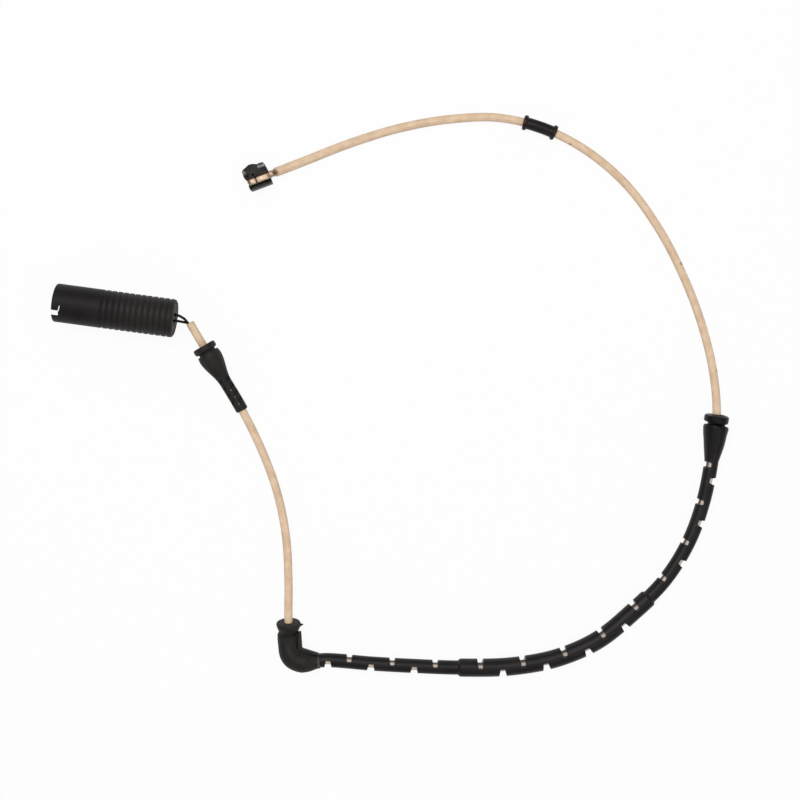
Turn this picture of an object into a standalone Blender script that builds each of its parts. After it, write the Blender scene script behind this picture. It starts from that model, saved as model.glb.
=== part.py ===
"""Brake pad wear sensor: a round two-way plug, a sheathed two-core cable and a wear head that
clips to the pad. Rubber and plastic sleeves sit on the cable: a bulb grommet, an elbow grommet,
a long notched guide that ends in a cone grommet, and a small spool sleeve.

The object lies on z = 0 as it would come to rest. +X is its longest side, and the origin is below
the middle of the box round everything but the free cable. Metres, +Z up.
"""

import math

import bmesh
import bpy
import numpy as np
from mathutils import Matrix, Vector

MM = 0.001
CLEARANCE = 0.3 * MM
# How far a cutter stands past the face that it cuts.
OVERCUT = 1.0 * MM

# Cable
SHEATH_RADIUS = 1.75 * MM
CORE_RADIUS = 0.45 * MM
FREE_SPACING = 10.0 * MM
GUIDED_SPACING = 7.5 * MM
BEND_SPACING = 2.4 * MM
# The middle of the sheath, from its open end at the plug to its end at the wear head.
CABLE_ROUTE = [
    (-0.0839, 0.0304, 0.0073),
    (-0.0785, 0.0209, 0.0057),
    (-0.0716, 0.0095, 0.0048),
    (-0.0629, -0.0053, 0.0034),
    (-0.0547, -0.0222, 0.0022),
    (-0.0482, -0.0398, 0.0024),
    (-0.0443, -0.0580, 0.0042),
    (-0.0430, -0.0765, 0.0066),
    (-0.0430, -0.0931, 0.0063),
    (-0.0425, -0.1030, 0.0054),
    (-0.0405, -0.1079, 0.0053),
    (-0.0356, -0.1099, 0.0053),
    (-0.0266, -0.1100, 0.0051),
    (-0.0087, -0.1115, 0.0047),
    (0.0096, -0.1126, 0.0043),
    (0.0276, -0.1133, 0.0040),
    (0.0518, -0.1126, 0.0039),
    (0.0689, -0.1093, 0.0039),
    (0.0860, -0.1018, 0.0039),
    (0.1002, -0.0904, 0.0039),
    (0.1139, -0.0767, 0.0041),
    (0.1239, -0.0604, 0.0045),
    (0.1299, -0.0433, 0.0050),
    (0.1331, -0.0266, 0.0054),
    (0.1352, -0.0066, 0.0055),
    (0.1339, 0.0109, 0.0040),
    (0.1297, 0.0297, 0.0022),
    (0.1218, 0.0507, 0.0019),
    (0.1112, 0.0709, 0.0019),
    (0.0970, 0.0897, 0.0019),
    (0.0793, 0.1039, 0.0028),
    (0.0623, 0.1121, 0.0036),
    (0.0452, 0.1163, 0.0027),
    (0.0243, 0.1159, 0.0019),
    (0.0033, 0.1122, 0.0019),
    (-0.0176, 0.1058, 0.0019),
    (-0.0385, 0.0976, 0.0021),
    (-0.0482, 0.0938, 0.0025),
]

# Plug, measured along its own axis from the rim of its mouth
PLUG_RADIUS = 8.0 * MM
PLUG_LENGTH = 50.0 * MM
PLUG_MOUTH = (-0.1395, 0.0388)
PLUG_TURN = math.radians(-7.7)
PLUG_RIM_EDGE = 0.6 * MM
MOUTH_WALL = 1.5 * MM
SEAT_DEPTH = 17.0 * MM
CORE_BORE_RADIUS = 4.8 * MM
REAR_POCKET_RADIUS = 6.6 * MM
REAR_POCKET_DEPTH = 4.0 * MM
RIBS_START = 21.0 * MM
RIB_COUNT = 9
RIB_PITCH = 3.2 * MM
RIB_GROOVE_WIDTH = 0.9 * MM
RIB_GROOVE_DEPTH = 0.45 * MM
SLOT_OFFSET = 4.35 * MM
SLOT_WIDTH = 1.9 * MM
SLOT_DEPTH = 3.1 * MM
HOOK_WIDTH = 0.9 * MM
HOOK_LENGTH = 2.6 * MM

# Contact carrier and contacts inside the plug
CARRIER_BOSS_RADIUS = 3.7 * MM
CARRIER_BOSS_LENGTH = 4.0 * MM
CARRIER_FLANGE_LENGTH = 4.0 * MM
CARRIER_TAIL_LENGTH = 13.0 * MM
SEAL_HEIGHT = 1.7 * MM
SEAL_THICKNESS = 1.5 * MM
CONTACT_PITCH = 3.6 * MM
CONTACT_RADIUS = 1.0 * MM
CONTACT_RECESS = 0.6 * MM
CONTACT_LENGTH = 13.0 * MM
CONTACT_BORE_RADIUS = 0.55 * MM
CONTACT_BORE_DEPTH = 7.0 * MM
CRIMP_BORE_DEPTH = 3.0 * MM
WIRE_PITCH = 2.8 * MM
WIRE_MOUTH_PITCH = 1.25 * MM

# Bulb grommet, measured along the cable
BULB_START = 11.0 * MM
BULB_FLANGE_RADIUS = 4.9 * MM
BULB_FLANGE_THICKNESS = 2.2 * MM
BULB_NECK_RADIUS = 3.7 * MM
BULB_NECK_LENGTH = 1.4 * MM
BULB_SHOULDER_RADIUS = 4.65 * MM
BULB_RADIUS = 5.0 * MM
BULB_LENGTH = 14.5 * MM
TAIL_WALL = 0.55 * MM
TAIL_LENGTH = 13.3 * MM
TAIL_WINDOWS = 3
WINDOW_PITCH = 3.3 * MM
WINDOW_LENGTH = 1.1 * MM
WINDOW_WIDTH = 1.7 * MM

# Elbow grommet
ELBOW_START = 134.6 * MM
ELBOW_FLANGE_RADIUS = 5.3 * MM
ELBOW_FLANGE_EDGE = 0.4 * MM
ELBOW_FLANGE_LENGTH = 3.0 * MM
ELBOW_NECK_RADIUS = 3.8 * MM
ELBOW_NECK_LENGTH = 0.8 * MM
ELBOW_LEG_RADIUS = 4.4 * MM
ELBOW_BEND_RADIUS = 4.95 * MM
ELBOW_LEG_LENGTH = 15.3 * MM
ELBOW_TAPER_LENGTH = 4.7 * MM
ELBOW_END_WALL = 0.75 * MM
ELBOW_END_LENGTH = 0.6 * MM

# Notched guide with its cone grommet
GUIDE_WALL = 0.9 * MM
GUIDE_WIDE_WALL = 1.75 * MM
GUIDE_CHAMFER = 1.1 * MM
FIRST_LENGTH = 57.8 * MM
WIDE_LENGTH = 88.8 * MM
LAST_LENGTH = 63.5 * MM
NOTCH_FIRST = 3.5 * MM
NOTCH_PITCH = 8.95 * MM
NOTCH_WIDTH = 2.2 * MM
CONE_LENGTH = 14.7 * MM
CONE_RADIUS = 5.5 * MM
CONE_NECK_RADIUS = 3.75 * MM
CONE_NECK_LENGTH = 1.2 * MM
CONE_FLANGE_RADIUS = 5.4 * MM
CONE_FLANGE_THICKNESS = 3.5 * MM
CONE_FLANGE_EDGE = 0.5 * MM
CONE_KEY_WIDTH = 3.2 * MM
CONE_KEY_HEIGHT = 1.1 * MM

# Spool sleeve
SPOOL_MIDDLE = 537.0 * MM
SPOOL_LENGTH = 14.3 * MM
SPOOL_WALL = 0.4 * MM
SPOOL_FLANGE_HEIGHT = 0.75 * MM
SPOOL_FLANGE_THICKNESS = 1.2 * MM

# Wear head, measured back from the end of the sheath, and across from the cable's middle
HEAD_TURN = math.radians(200.6)
HEAD_HEIGHT = 6.6 * MM
HEAD_START = 3.2 * MM
HEAD_LENGTH = 10.4 * MM
HEAD_UPPER = 6.25 * MM
HEAD_LOWER = 3.95 * MM
HEAD_EDGE = 0.25 * MM
# The corners of the head's outline: how far back from its end each lies, and how far across.
LIP_BACK = 0.5 * MM
LIP_CORNER_LENGTH = 0.4 * MM
LIP_CORNER_WIDTH = 0.5 * MM
THROAT_MOUTH = 1.9 * MM
THROAT_BACK = 1.0 * MM
THROAT_LOWER = 1.3 * MM
THROAT_UPPER = -0.2 * MM
NOSE_LOWER = -1.9 * MM
NOSE_UPPER = -4.6 * MM
CREST_BACK = 3.7 * MM
BROW_BACK = 5.3 * MM
BROW_DROP = 0.2 * MM
DIP_BACK = 7.5 * MM
DIP_DROP = 1.1 * MM
LUG_BACK = 7.9 * MM
LUG_DROP = 0.8 * MM
SHOULDER_SET_IN = 0.6 * MM
SHOULDER_UPPER = -4.1 * MM
SHOULDER_LOWER = -2.1 * MM
GROOVE_MIDDLE = -0.5 * MM
GROOVE_WIDTH = 3.0 * MM
GROOVE_FLOOR = 4.6 * MM
BRIDGE_AT = 9.65 * MM
BRIDGE_LENGTH = 0.5 * MM
BRIDGE_THICKNESS = 0.8 * MM
LUG_HEIGHT = 0.7 * MM
LUG_LENGTH = 2.3 * MM
LUG_WIDTH = 1.5 * MM
PIT_RADIUS = 0.55 * MM
PIT_DEPTH = 1.4 * MM
JACKET_RADIUS = 1.05 * MM
JACKET_LENGTH = 5.7 * MM
FERRULE_WALL = 0.4 * MM
FERRULE_START = 1.7 * MM
FERRULE_LENGTH = 2.3 * MM
SPRING_THICKNESS = 0.25 * MM
SPRING_BOW = 0.55 * MM
LOOP_PITCH = 1.6 * MM
LOOP_LENGTH = 6.4 * MM

# Numbers of facets
PLUG_SIDES = 32
SMALL_SIDES = 16
SLEEVE_ARC_COUNT = 6
BORE_ARC_COUNT = 5
CABLE_ARC_COUNT = 2
# A sleeve's points stand this far apart, and closer in the elbow.
SLEEVE_SPACING = 5.0 * MM
ELBOW_SPACING = 1.5 * MM
# A sharp step in a sleeve's outline is two points this far apart.
STEP = 0.04 * MM

BORE_RADIUS = SHEATH_RADIUS + CLEARANCE
WIRE_HOLE_RADIUS = CORE_RADIUS + CLEARANCE
MOUTH_RADIUS = PLUG_RADIUS - MOUTH_WALL
CARRIER_FRONT = SEAT_DEPTH - CLEARANCE - CARRIER_FLANGE_LENGTH - CARRIER_BOSS_LENGTH
CONTACT_FRONT = CARRIER_FRONT + CONTACT_RECESS
WIRE_START = CONTACT_FRONT + CONTACT_LENGTH - CRIMP_BORE_DEPTH + CLEARANCE
BULB_SHOULDER = BULB_START + BULB_FLANGE_THICKNESS + BULB_NECK_LENGTH
ELBOW_LEG_START = ELBOW_START + ELBOW_FLANGE_LENGTH + ELBOW_NECK_LENGTH
ELBOW_TAPER_START = ELBOW_LEG_START + ELBOW_LEG_LENGTH
ELBOW_END = ELBOW_TAPER_START + ELBOW_TAPER_LENGTH + ELBOW_END_LENGTH
GUIDE_START = ELBOW_END + CLEARANCE
WIDE_START = GUIDE_START + FIRST_LENGTH
WIDE_END = WIDE_START + WIDE_LENGTH
CONE_START = WIDE_END + LAST_LENGTH
CONE_SHOULDER = CONE_START + CONE_LENGTH
CONE_FLANGE_START = CONE_SHOULDER + CONE_NECK_LENGTH
GUIDE_END = CONE_FLANGE_START + CONE_FLANGE_THICKNESS

BLACK_PLASTIC = ((0.018, 0.016, 0.016), 0.55, 0.0)
BLACK_RUBBER = ((0.022, 0.020, 0.018), 0.75, 0.0)
BROWN_RUBBER = ((0.028, 0.020, 0.017), 0.7, 0.0)
GREY_PLASTIC = ((0.09, 0.09, 0.09), 0.5, 0.0)
CREAM_SHEATH = ((0.76, 0.55, 0.38), 0.6, 0.0)
BROWN_JACKET = ((0.15, 0.07, 0.035), 0.6, 0.0)
BRASS = ((0.75, 0.55, 0.28), 0.3, 1.0)
COPPER = ((0.72, 0.42, 0.30), 0.35, 1.0)
BRONZE = ((0.85, 0.62, 0.45), 0.3, 1.0)


def smooth_route(points, step):
    """Points about step apart on a smooth curve through the given ones."""
    knots = np.array(points)
    chords = np.linalg.norm(np.diff(knots, axis=0), axis=1)[:, None]
    secants = np.diff(knots, axis=0) / chords
    slopes = np.empty_like(knots)
    slopes[1:-1] = (secants[:-1] * chords[1:] + secants[1:] * chords[:-1]) / (chords[:-1] + chords[1:])
    slopes[0] = 1.5 * secants[0] - 0.5 * slopes[1]
    slopes[-1] = 1.5 * secants[-1] - 0.5 * slopes[-2]
    fine = []
    for i, chord in enumerate(chords[:, 0]):
        count = max(2, math.ceil(chord / step))
        t = (np.arange(count) / count)[:, None]
        start = (2 * t**3 - 3 * t**2 + 1) * knots[i] + (t**3 - 2 * t**2 + t) * chord * slopes[i]
        end = (3 * t**2 - 2 * t**3) * knots[i + 1] + (t**3 - t**2) * chord * slopes[i + 1]
        fine.append(start + end)
    fine.append(knots[-1:])
    return np.concatenate(fine)


CABLE_LINE = smooth_route(CABLE_ROUTE, 0.5 * MM)
CABLE_ALONG = np.concatenate([[0], np.cumsum(np.linalg.norm(np.diff(CABLE_LINE, axis=0), axis=1))])
CABLE_LENGTH = float(CABLE_ALONG[-1])


def cable_point(along):
    """The middle of the cable at this distance from its end at the plug."""
    return Vector([float(np.interp(along, CABLE_ALONG, CABLE_LINE[:, k])) for k in range(3)])


def cable_frame(along):
    """A matrix at that point: X runs on along the cable, Y to its left, and Z upwards."""
    ahead = (cable_point(along + 0.5 * MM) - cable_point(along - 0.5 * MM)).normalized()
    left = Vector((0, 0, 1)).cross(ahead).normalized()
    frame = Matrix((ahead, left, ahead.cross(left))).transposed().to_4x4()
    frame.translation = cable_point(along)
    return frame


def new_collection(name, parent):
    made = bpy.data.collections.new(name)
    parent.children.link(made)
    return made


def material(name, look):
    colour, roughness, metallic = look
    made = bpy.data.materials.new(name)
    made.use_nodes = True
    shader = made.node_tree.nodes["Principled BSDF"]
    shader.inputs["Base Color"].default_value = (*colour, 1)
    shader.inputs["Roughness"].default_value = roughness
    shader.inputs["Metallic"].default_value = metallic
    return made


def finish(piece, look, sharp_angle=math.radians(40)):
    """Gives a finished piece its material and its smooth shading."""
    piece.data.materials.clear()
    piece.data.materials.append(material(piece.name, look))
    if piece.type == "MESH":
        piece.data.shade_smooth()
        piece.data.set_sharp_from_angle(angle=sharp_angle)
    return piece


def link(name, mesh, collection):
    piece = bpy.data.objects.new(name, mesh)
    collection.objects.link(piece)
    return piece


def tube_curve(name, points, radii, bevel_resolution, collection):
    """A round tube through the points, with its own radius at each, as a curve with filled caps."""
    curve = bpy.data.curves.new(name, "CURVE")
    curve.dimensions = "3D"
    curve.bevel_depth = 1.0 * MM
    curve.bevel_resolution = bevel_resolution
    curve.use_fill_caps = True
    spline = curve.splines.new("POLY")
    spline.points.add(len(points) - 1)
    for point, place, radius in zip(spline.points, points, radii):
        point.co = (*place, 1)
        point.radius = radius / curve.bevel_depth
    return link(name, curve, collection)


def mesh_of(piece, collection):
    """The curve as a closed mesh object, in the curve's place."""
    bpy.context.view_layer.update()
    name = piece.name
    mesh = bpy.data.meshes.new_from_object(piece.evaluated_get(bpy.context.evaluated_depsgraph_get()))
    whole = bmesh.new()
    whole.from_mesh(mesh)
    bmesh.ops.remove_doubles(whole, verts=whole.verts, dist=0.001 * MM)
    whole.to_mesh(mesh)
    whole.free()
    place = piece.matrix_world.copy()
    bpy.data.objects.remove(piece)
    made = link(name, mesh, collection)
    made.name = name
    made.matrix_world = place
    return made


def along_cable(name, outline, spacing, bevel_resolution, collection):
    """A solid of revolution bent along the cable. Outline is pairs of distance and radius."""
    stations = []
    for (start, start_radius), (end, end_radius) in zip(outline, outline[1:]):
        count = max(1, math.ceil((end - start) / spacing))
        for k in range(count):
            share = k / count
            stations.append((start + (end - start) * share, start_radius + (end_radius - start_radius) * share))
    stations.append(outline[-1])
    points = [cable_point(along) for along, _ in stations]
    radii = [radius for _, radius in stations]
    return mesh_of(tube_curve(name, points, radii, bevel_resolution, collection), collection)


def turned(name, outline, sides, place, collection, closed=True):
    """A turned piece: pairs of radius and depth, down the outside and up the inside."""
    points = [(radius, 0, -depth) for radius, depth in outline]
    edges = [(i, i + 1) for i in range(len(points) - 1)]
    if closed:
        edges.append((len(points) - 1, 0))
    mesh = bpy.data.meshes.new(name)
    mesh.from_pydata(points, edges, [])
    piece = link(name, mesh, collection)
    piece.matrix_world = place
    screw = piece.modifiers.new("Turn", "SCREW")
    screw.steps = sides
    screw.render_steps = sides
    screw.use_merge_vertices = True
    screw.merge_threshold = 0.001 * MM
    return piece


def box(name, size, place, collection, lift=(0, 0, 0)):
    """A block of this size, its middle at lift in the frame that place gives."""
    mesh = bpy.data.meshes.new(name)
    solid = bmesh.new()
    bmesh.ops.create_cube(solid, size=1)
    bmesh.ops.scale(solid, vec=size, verts=solid.verts)
    bmesh.ops.translate(solid, vec=lift, verts=solid.verts)
    solid.to_mesh(mesh)
    solid.free()
    piece = link(name, mesh, collection)
    piece.matrix_world = place
    return piece


def round_bar(name, radius, length, place, collection, lift=(0, 0, 0), sides=SMALL_SIDES):
    """A cylinder along the X axis of the frame that place gives, its middle at lift."""
    mesh = bpy.data.meshes.new(name)
    solid = bmesh.new()
    bmesh.ops.create_cone(solid, cap_ends=True, segments=sides, radius1=radius, radius2=radius, depth=length)
    bmesh.ops.rotate(solid, matrix=Matrix.Rotation(math.pi / 2, 3, "Y"), verts=solid.verts)
    bmesh.ops.translate(solid, vec=lift, verts=solid.verts)
    solid.to_mesh(mesh)
    solid.free()
    piece = link(name, mesh, collection)
    piece.matrix_world = place
    return piece


def boolean(piece, other, operation):
    modifier = piece.modifiers.new(other.name, "BOOLEAN")
    modifier.operation = operation
    modifier.solver = "EXACT"
    modifier.object = other
    other.hide_render = True
    other.display_type = "WIRE"


def cut(piece, *cutters):
    for cutter in cutters:
        boolean(piece, cutter, "DIFFERENCE")


def join(piece, *additions):
    for addition in additions:
        boolean(piece, addition, "UNION")


def bore(piece, start, end, spacing, cutters):
    """Cuts the cable's hole through a sleeve that lies between start and end."""
    outline = [(start - OVERCUT, BORE_RADIUS), (end + OVERCUT, BORE_RADIUS)]
    cut(piece, along_cable(piece.name + "_bore", outline, spacing, BORE_ARC_COUNT, cutters))


def plug_frame():
    """Local +Z looks out of the plug's mouth, local X lies across it, and the rim is at z = 0."""
    inwards = Vector((math.cos(PLUG_TURN), math.sin(PLUG_TURN), 0))
    across = Vector((-math.sin(PLUG_TURN), math.cos(PLUG_TURN), 0))
    frame = Matrix((across, -inwards.cross(across), -inwards)).transposed().to_4x4()
    frame.translation = Vector((*PLUG_MOUTH, PLUG_RADIUS))
    return frame


def head_frame():
    """Origin on the sheath's end face: X into the head, Y to its lower side, and z = 0 at the floor."""
    frame = Matrix.Rotation(HEAD_TURN, 4, "Z")
    end = cable_point(CABLE_LENGTH)
    frame.translation = Vector((end.x, end.y, 0))
    return frame


def connector_shell(parts, cutters):
    """The moulded plug body: an open mouth with a bayonet slot, a ribbed grip, and a rear pocket."""
    outline = [(PLUG_RADIUS - PLUG_RIM_EDGE, 0), (PLUG_RADIUS, PLUG_RIM_EDGE)]
    for k in range(RIB_COUNT):
        start = RIBS_START + k * RIB_PITCH
        outline += [
            (PLUG_RADIUS, start),
            (PLUG_RADIUS - RIB_GROOVE_DEPTH, start + RIB_GROOVE_WIDTH / 3),
            (PLUG_RADIUS - RIB_GROOVE_DEPTH, start + RIB_GROOVE_WIDTH * 2 / 3),
            (PLUG_RADIUS, start + RIB_GROOVE_WIDTH),
        ]
    outline += [
        (PLUG_RADIUS, PLUG_LENGTH - RIB_GROOVE_DEPTH),
        (PLUG_RADIUS - RIB_GROOVE_DEPTH, PLUG_LENGTH),
        (REAR_POCKET_RADIUS, PLUG_LENGTH),
        (REAR_POCKET_RADIUS, PLUG_LENGTH - REAR_POCKET_DEPTH),
        (CORE_BORE_RADIUS, PLUG_LENGTH - REAR_POCKET_DEPTH),
        (CORE_BORE_RADIUS, SEAT_DEPTH),
        (MOUTH_RADIUS, SEAT_DEPTH),
        (MOUTH_RADIUS, 0),
    ]
    place = plug_frame()
    shell = turned("connector_shell", outline, PLUG_SIDES, place, parts)
    through = 2 * (PLUG_RADIUS + OVERCUT)
    entry = (SLOT_WIDTH, through, SLOT_DEPTH + HOOK_WIDTH + OVERCUT)
    entry_at = (-SLOT_OFFSET, 0, (OVERCUT - SLOT_DEPTH - HOOK_WIDTH) / 2)
    hook = (HOOK_LENGTH + SLOT_WIDTH / 2, through, HOOK_WIDTH)
    hook_at = (-SLOT_OFFSET + hook[0] / 2 + SLOT_WIDTH / 4, 0, -SLOT_DEPTH - HOOK_WIDTH / 2)
    cut(
        shell,
        box("slot_entry", entry, place, cutters, entry_at),
        box("slot_hook", hook, place, cutters, hook_at),
    )
    return finish(shell, BLACK_PLASTIC)


def plug_holes(name, pitch, radius, start, end, cutters):
    """A pair of cutters for round holes along the plug, side by side, between two depths."""
    upright = plug_frame() @ Matrix.Rotation(-math.pi / 2, 4, "Y")
    return [
        round_bar(
            f"{name}_{side}", radius, end - start, upright, cutters, (-(start + end) / 2, 0, -place)
        )
        for side, place in ((1, pitch / 2), (2, -pitch / 2))
    ]


def contact_carrier(parts, cutters):
    """The insulating insert that holds the two contacts, seated on the step inside the plug."""
    front = CARRIER_FRONT
    flange = front + CARRIER_BOSS_LENGTH
    tail = flange + CARRIER_FLANGE_LENGTH
    outline = [
        (0, front),
        (CARRIER_BOSS_RADIUS, front),
        (CARRIER_BOSS_RADIUS, flange),
        (MOUTH_RADIUS - CLEARANCE, flange),
        (MOUTH_RADIUS - CLEARANCE, tail),
        (CORE_BORE_RADIUS - CLEARANCE, tail),
        (CORE_BORE_RADIUS - CLEARANCE, tail + CARRIER_TAIL_LENGTH),
        (0, tail + CARRIER_TAIL_LENGTH),
    ]
    carrier = turned("contact_carrier", outline, PLUG_SIDES, plug_frame(), parts, closed=False)
    start, end = front - OVERCUT, tail + CARRIER_TAIL_LENGTH + OVERCUT
    cut(carrier, *plug_holes("contact_hole", CONTACT_PITCH, CONTACT_RADIUS + CLEARANCE, start, end, cutters))
    return finish(carrier, GREY_PLASTIC)


def face_seal(parts):
    """The rubber ring on the carrier's boss that the mating plug presses on."""
    inner = CARRIER_BOSS_RADIUS + CLEARANCE
    back = CARRIER_FRONT + CARRIER_BOSS_LENGTH - CLEARANCE
    outline = [
        (inner + SEAL_HEIGHT / 2, back - SEAL_THICKNESS),
        (inner + SEAL_HEIGHT, back - SEAL_THICKNESS / 2),
        (inner + SEAL_HEIGHT, back),
        (inner, back),
        (inner, back - SEAL_THICKNESS / 2),
    ]
    return finish(turned("face_seal", outline, PLUG_SIDES, plug_frame(), parts), BROWN_RUBBER)


def contact_sockets(parts):
    """Two turned brass sockets, open in front for a pin and behind for the crimped wire."""
    outline = [
        (CONTACT_RADIUS, CONTACT_FRONT),
        (CONTACT_RADIUS, CONTACT_FRONT + CONTACT_LENGTH),
        (WIRE_HOLE_RADIUS, CONTACT_FRONT + CONTACT_LENGTH),
        (WIRE_HOLE_RADIUS, CONTACT_FRONT + CONTACT_LENGTH - CRIMP_BORE_DEPTH),
        (0, CONTACT_FRONT + CONTACT_LENGTH - CRIMP_BORE_DEPTH),
        (0, CONTACT_FRONT + CONTACT_BORE_DEPTH),
        (CONTACT_BORE_RADIUS, CONTACT_FRONT + CONTACT_BORE_DEPTH),
        (CONTACT_BORE_RADIUS, CONTACT_FRONT),
    ]
    for number, across in ((1, CONTACT_PITCH / 2), (2, -CONTACT_PITCH / 2)):
        place = plug_frame() @ Matrix.Translation((across, 0, 0))
        name = f"contact_socket_{number}"
        finish(turned(name, outline, SMALL_SIDES, place, parts), BRASS)


def rear_seal(parts, cutters):
    """The rubber plug that closes the back of the connector round the two core wires."""
    radius = REAR_POCKET_RADIUS - CLEARANCE
    start = PLUG_LENGTH - REAR_POCKET_DEPTH + CLEARANCE
    outline = [(0, start), (radius, start), (radius, PLUG_LENGTH), (0, PLUG_LENGTH)]
    seal = turned("rear_seal", outline, PLUG_SIDES, plug_frame(), parts, closed=False)
    ends = start - OVERCUT, PLUG_LENGTH + OVERCUT
    cut(seal, *plug_holes("wire_hole", WIRE_PITCH, WIRE_HOLE_RADIUS, *ends, cutters))
    return finish(seal, BROWN_RUBBER)


def core_wires(parts):
    """The two insulated cores, from their crimps through the rear seal to the sheath's open end."""
    plug = plug_frame()
    mouth = cable_frame(0)
    seal_front = PLUG_LENGTH - REAR_POCKET_DEPTH - OVERCUT
    for number, side in ((1, 1), (2, -1)):
        straight = [
            (side * CONTACT_PITCH / 2, WIRE_START),
            (side * CONTACT_PITCH / 2, CONTACT_FRONT + CONTACT_LENGTH + OVERCUT),
            (side * WIRE_PITCH / 2, seal_front),
            (side * WIRE_PITCH / 2, PLUG_LENGTH + OVERCUT),
        ]
        points = [plug @ Vector((across, 0, -depth)) for across, depth in straight]
        leave = (points[-1] - points[-2]).normalized()
        end = mouth @ Vector((-CLEARANCE, side * WIRE_MOUTH_PITCH / 2, 0))
        enter = mouth.to_3x3() @ Vector((1, 0, 0))
        reach = (end - points[-1]).length
        first = points[-1]
        for k in range(1, 6):
            t = k / 5
            blend = [
                (1 - t) ** 3 * first,
                3 * t * (1 - t) ** 2 * (first + leave * reach * 0.4),
                3 * t**2 * (1 - t) * (end - enter * reach * 0.4),
                t**3 * end,
            ]
            points.append(sum(blend, Vector((0, 0, 0))))
        radii = [CORE_RADIUS] * len(points)
        finish(tube_curve(f"core_wire_{number}", points, radii, CABLE_ARC_COUNT, parts), BLACK_PLASTIC)


def cable_sheath(parts):
    """The cream sheath, one length from the plug to the wear head."""
    stretches = [
        (0, ELBOW_LEG_START, FREE_SPACING),
        (ELBOW_LEG_START, ELBOW_END, BEND_SPACING),
        (ELBOW_END, GUIDE_END, GUIDED_SPACING),
        (GUIDE_END, CABLE_LENGTH, FREE_SPACING),
    ]
    places = []
    for start, end, spacing in stretches:
        count = math.ceil((end - start) / spacing)
        places += [start + (end - start) * k / count for k in range(count)]
    places.append(CABLE_LENGTH)
    points = [cable_point(along) for along in places]
    radii = [SHEATH_RADIUS] * len(points)
    return finish(tube_curve("cable_sheath", points, radii, CABLE_ARC_COUNT, parts), CREAM_SHEATH)


def bulb_grommet(parts, cutters):
    """The rubber grommet next to the plug: flange, panel groove, bulb, and a tail cut with windows."""
    tail_radius = BORE_RADIUS + TAIL_WALL
    neck_start = BULB_START + BULB_FLANGE_THICKNESS
    tail_start = BULB_SHOULDER + BULB_LENGTH
    end = tail_start + TAIL_LENGTH
    outline = [
        (BULB_START, BULB_FLANGE_RADIUS - STEP * 5),
        (BULB_START + STEP * 5, BULB_FLANGE_RADIUS),
        (neck_start - STEP, BULB_FLANGE_RADIUS),
        (neck_start, BULB_NECK_RADIUS),
        (BULB_SHOULDER - STEP, BULB_NECK_RADIUS),
        (BULB_SHOULDER, BULB_SHOULDER_RADIUS),
    ]
    # The bulb falls to the tail along half a cosine wave that starts a quarter of its length down.
    falls = 8
    for k in range(falls + 1):
        share = k / falls
        radius = tail_radius + (BULB_RADIUS - tail_radius) * (1 + math.cos(math.pi * share)) / 2
        outline.append((BULB_SHOULDER + BULB_LENGTH * (0.22 + 0.78 * share), radius))
    outline += [(end - TAIL_WALL, tail_radius), (end, tail_radius - TAIL_WALL / 2)]
    grommet = along_cable("bulb_grommet", outline, SLEEVE_SPACING, SLEEVE_ARC_COUNT, parts)
    bore(grommet, BULB_START, end, SLEEVE_SPACING, cutters)
    across = 4 * tail_radius
    for k in range(TAIL_WINDOWS):
        along = end - TAIL_LENGTH * 0.22 - k * WINDOW_PITCH
        upright = cable_frame(along)
        level = cable_frame(along - WINDOW_PITCH / 2)
        cut(
            grommet,
            box(f"tail_window_{k}", (WINDOW_LENGTH, WINDOW_WIDTH, across), upright, cutters),
            box(f"tail_side_window_{k}", (WINDOW_LENGTH, across, WINDOW_WIDTH), level, cutters),
        )
    return finish(grommet, BLACK_RUBBER)


def elbow_grommet(parts, cutters):
    """The rubber elbow that turns the cable a quarter circle into the guide."""
    neck_start = ELBOW_START + ELBOW_FLANGE_LENGTH
    end_start = ELBOW_END - ELBOW_END_LENGTH
    end_radius = BORE_RADIUS + ELBOW_END_WALL
    outline = [
        (ELBOW_START, ELBOW_FLANGE_RADIUS - ELBOW_FLANGE_EDGE),
        (ELBOW_START + ELBOW_FLANGE_EDGE, ELBOW_FLANGE_RADIUS),
        (ELBOW_START + ELBOW_FLANGE_LENGTH / 3, ELBOW_FLANGE_RADIUS),
        (neck_start, ELBOW_NECK_RADIUS),
        (ELBOW_LEG_START - STEP, ELBOW_NECK_RADIUS),
        (ELBOW_LEG_START, ELBOW_LEG_RADIUS),
        (ELBOW_LEG_START + ELBOW_LEG_LENGTH / 2, ELBOW_BEND_RADIUS),
        (ELBOW_TAPER_START, ELBOW_BEND_RADIUS),
        (end_start, end_radius),
        (ELBOW_END, end_radius),
    ]
    elbow = along_cable("elbow_grommet", outline, ELBOW_SPACING, SLEEVE_ARC_COUNT, parts)
    bore(elbow, ELBOW_START, ELBOW_END, ELBOW_SPACING, cutters)
    return finish(elbow, BLACK_RUBBER)


def guide_radius(along):
    """The guide's outer radius, without its cone."""
    thin = BORE_RADIUS + GUIDE_WALL
    wide = BORE_RADIUS + GUIDE_WIDE_WALL
    return wide if WIDE_START < along < WIDE_END else thin


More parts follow.
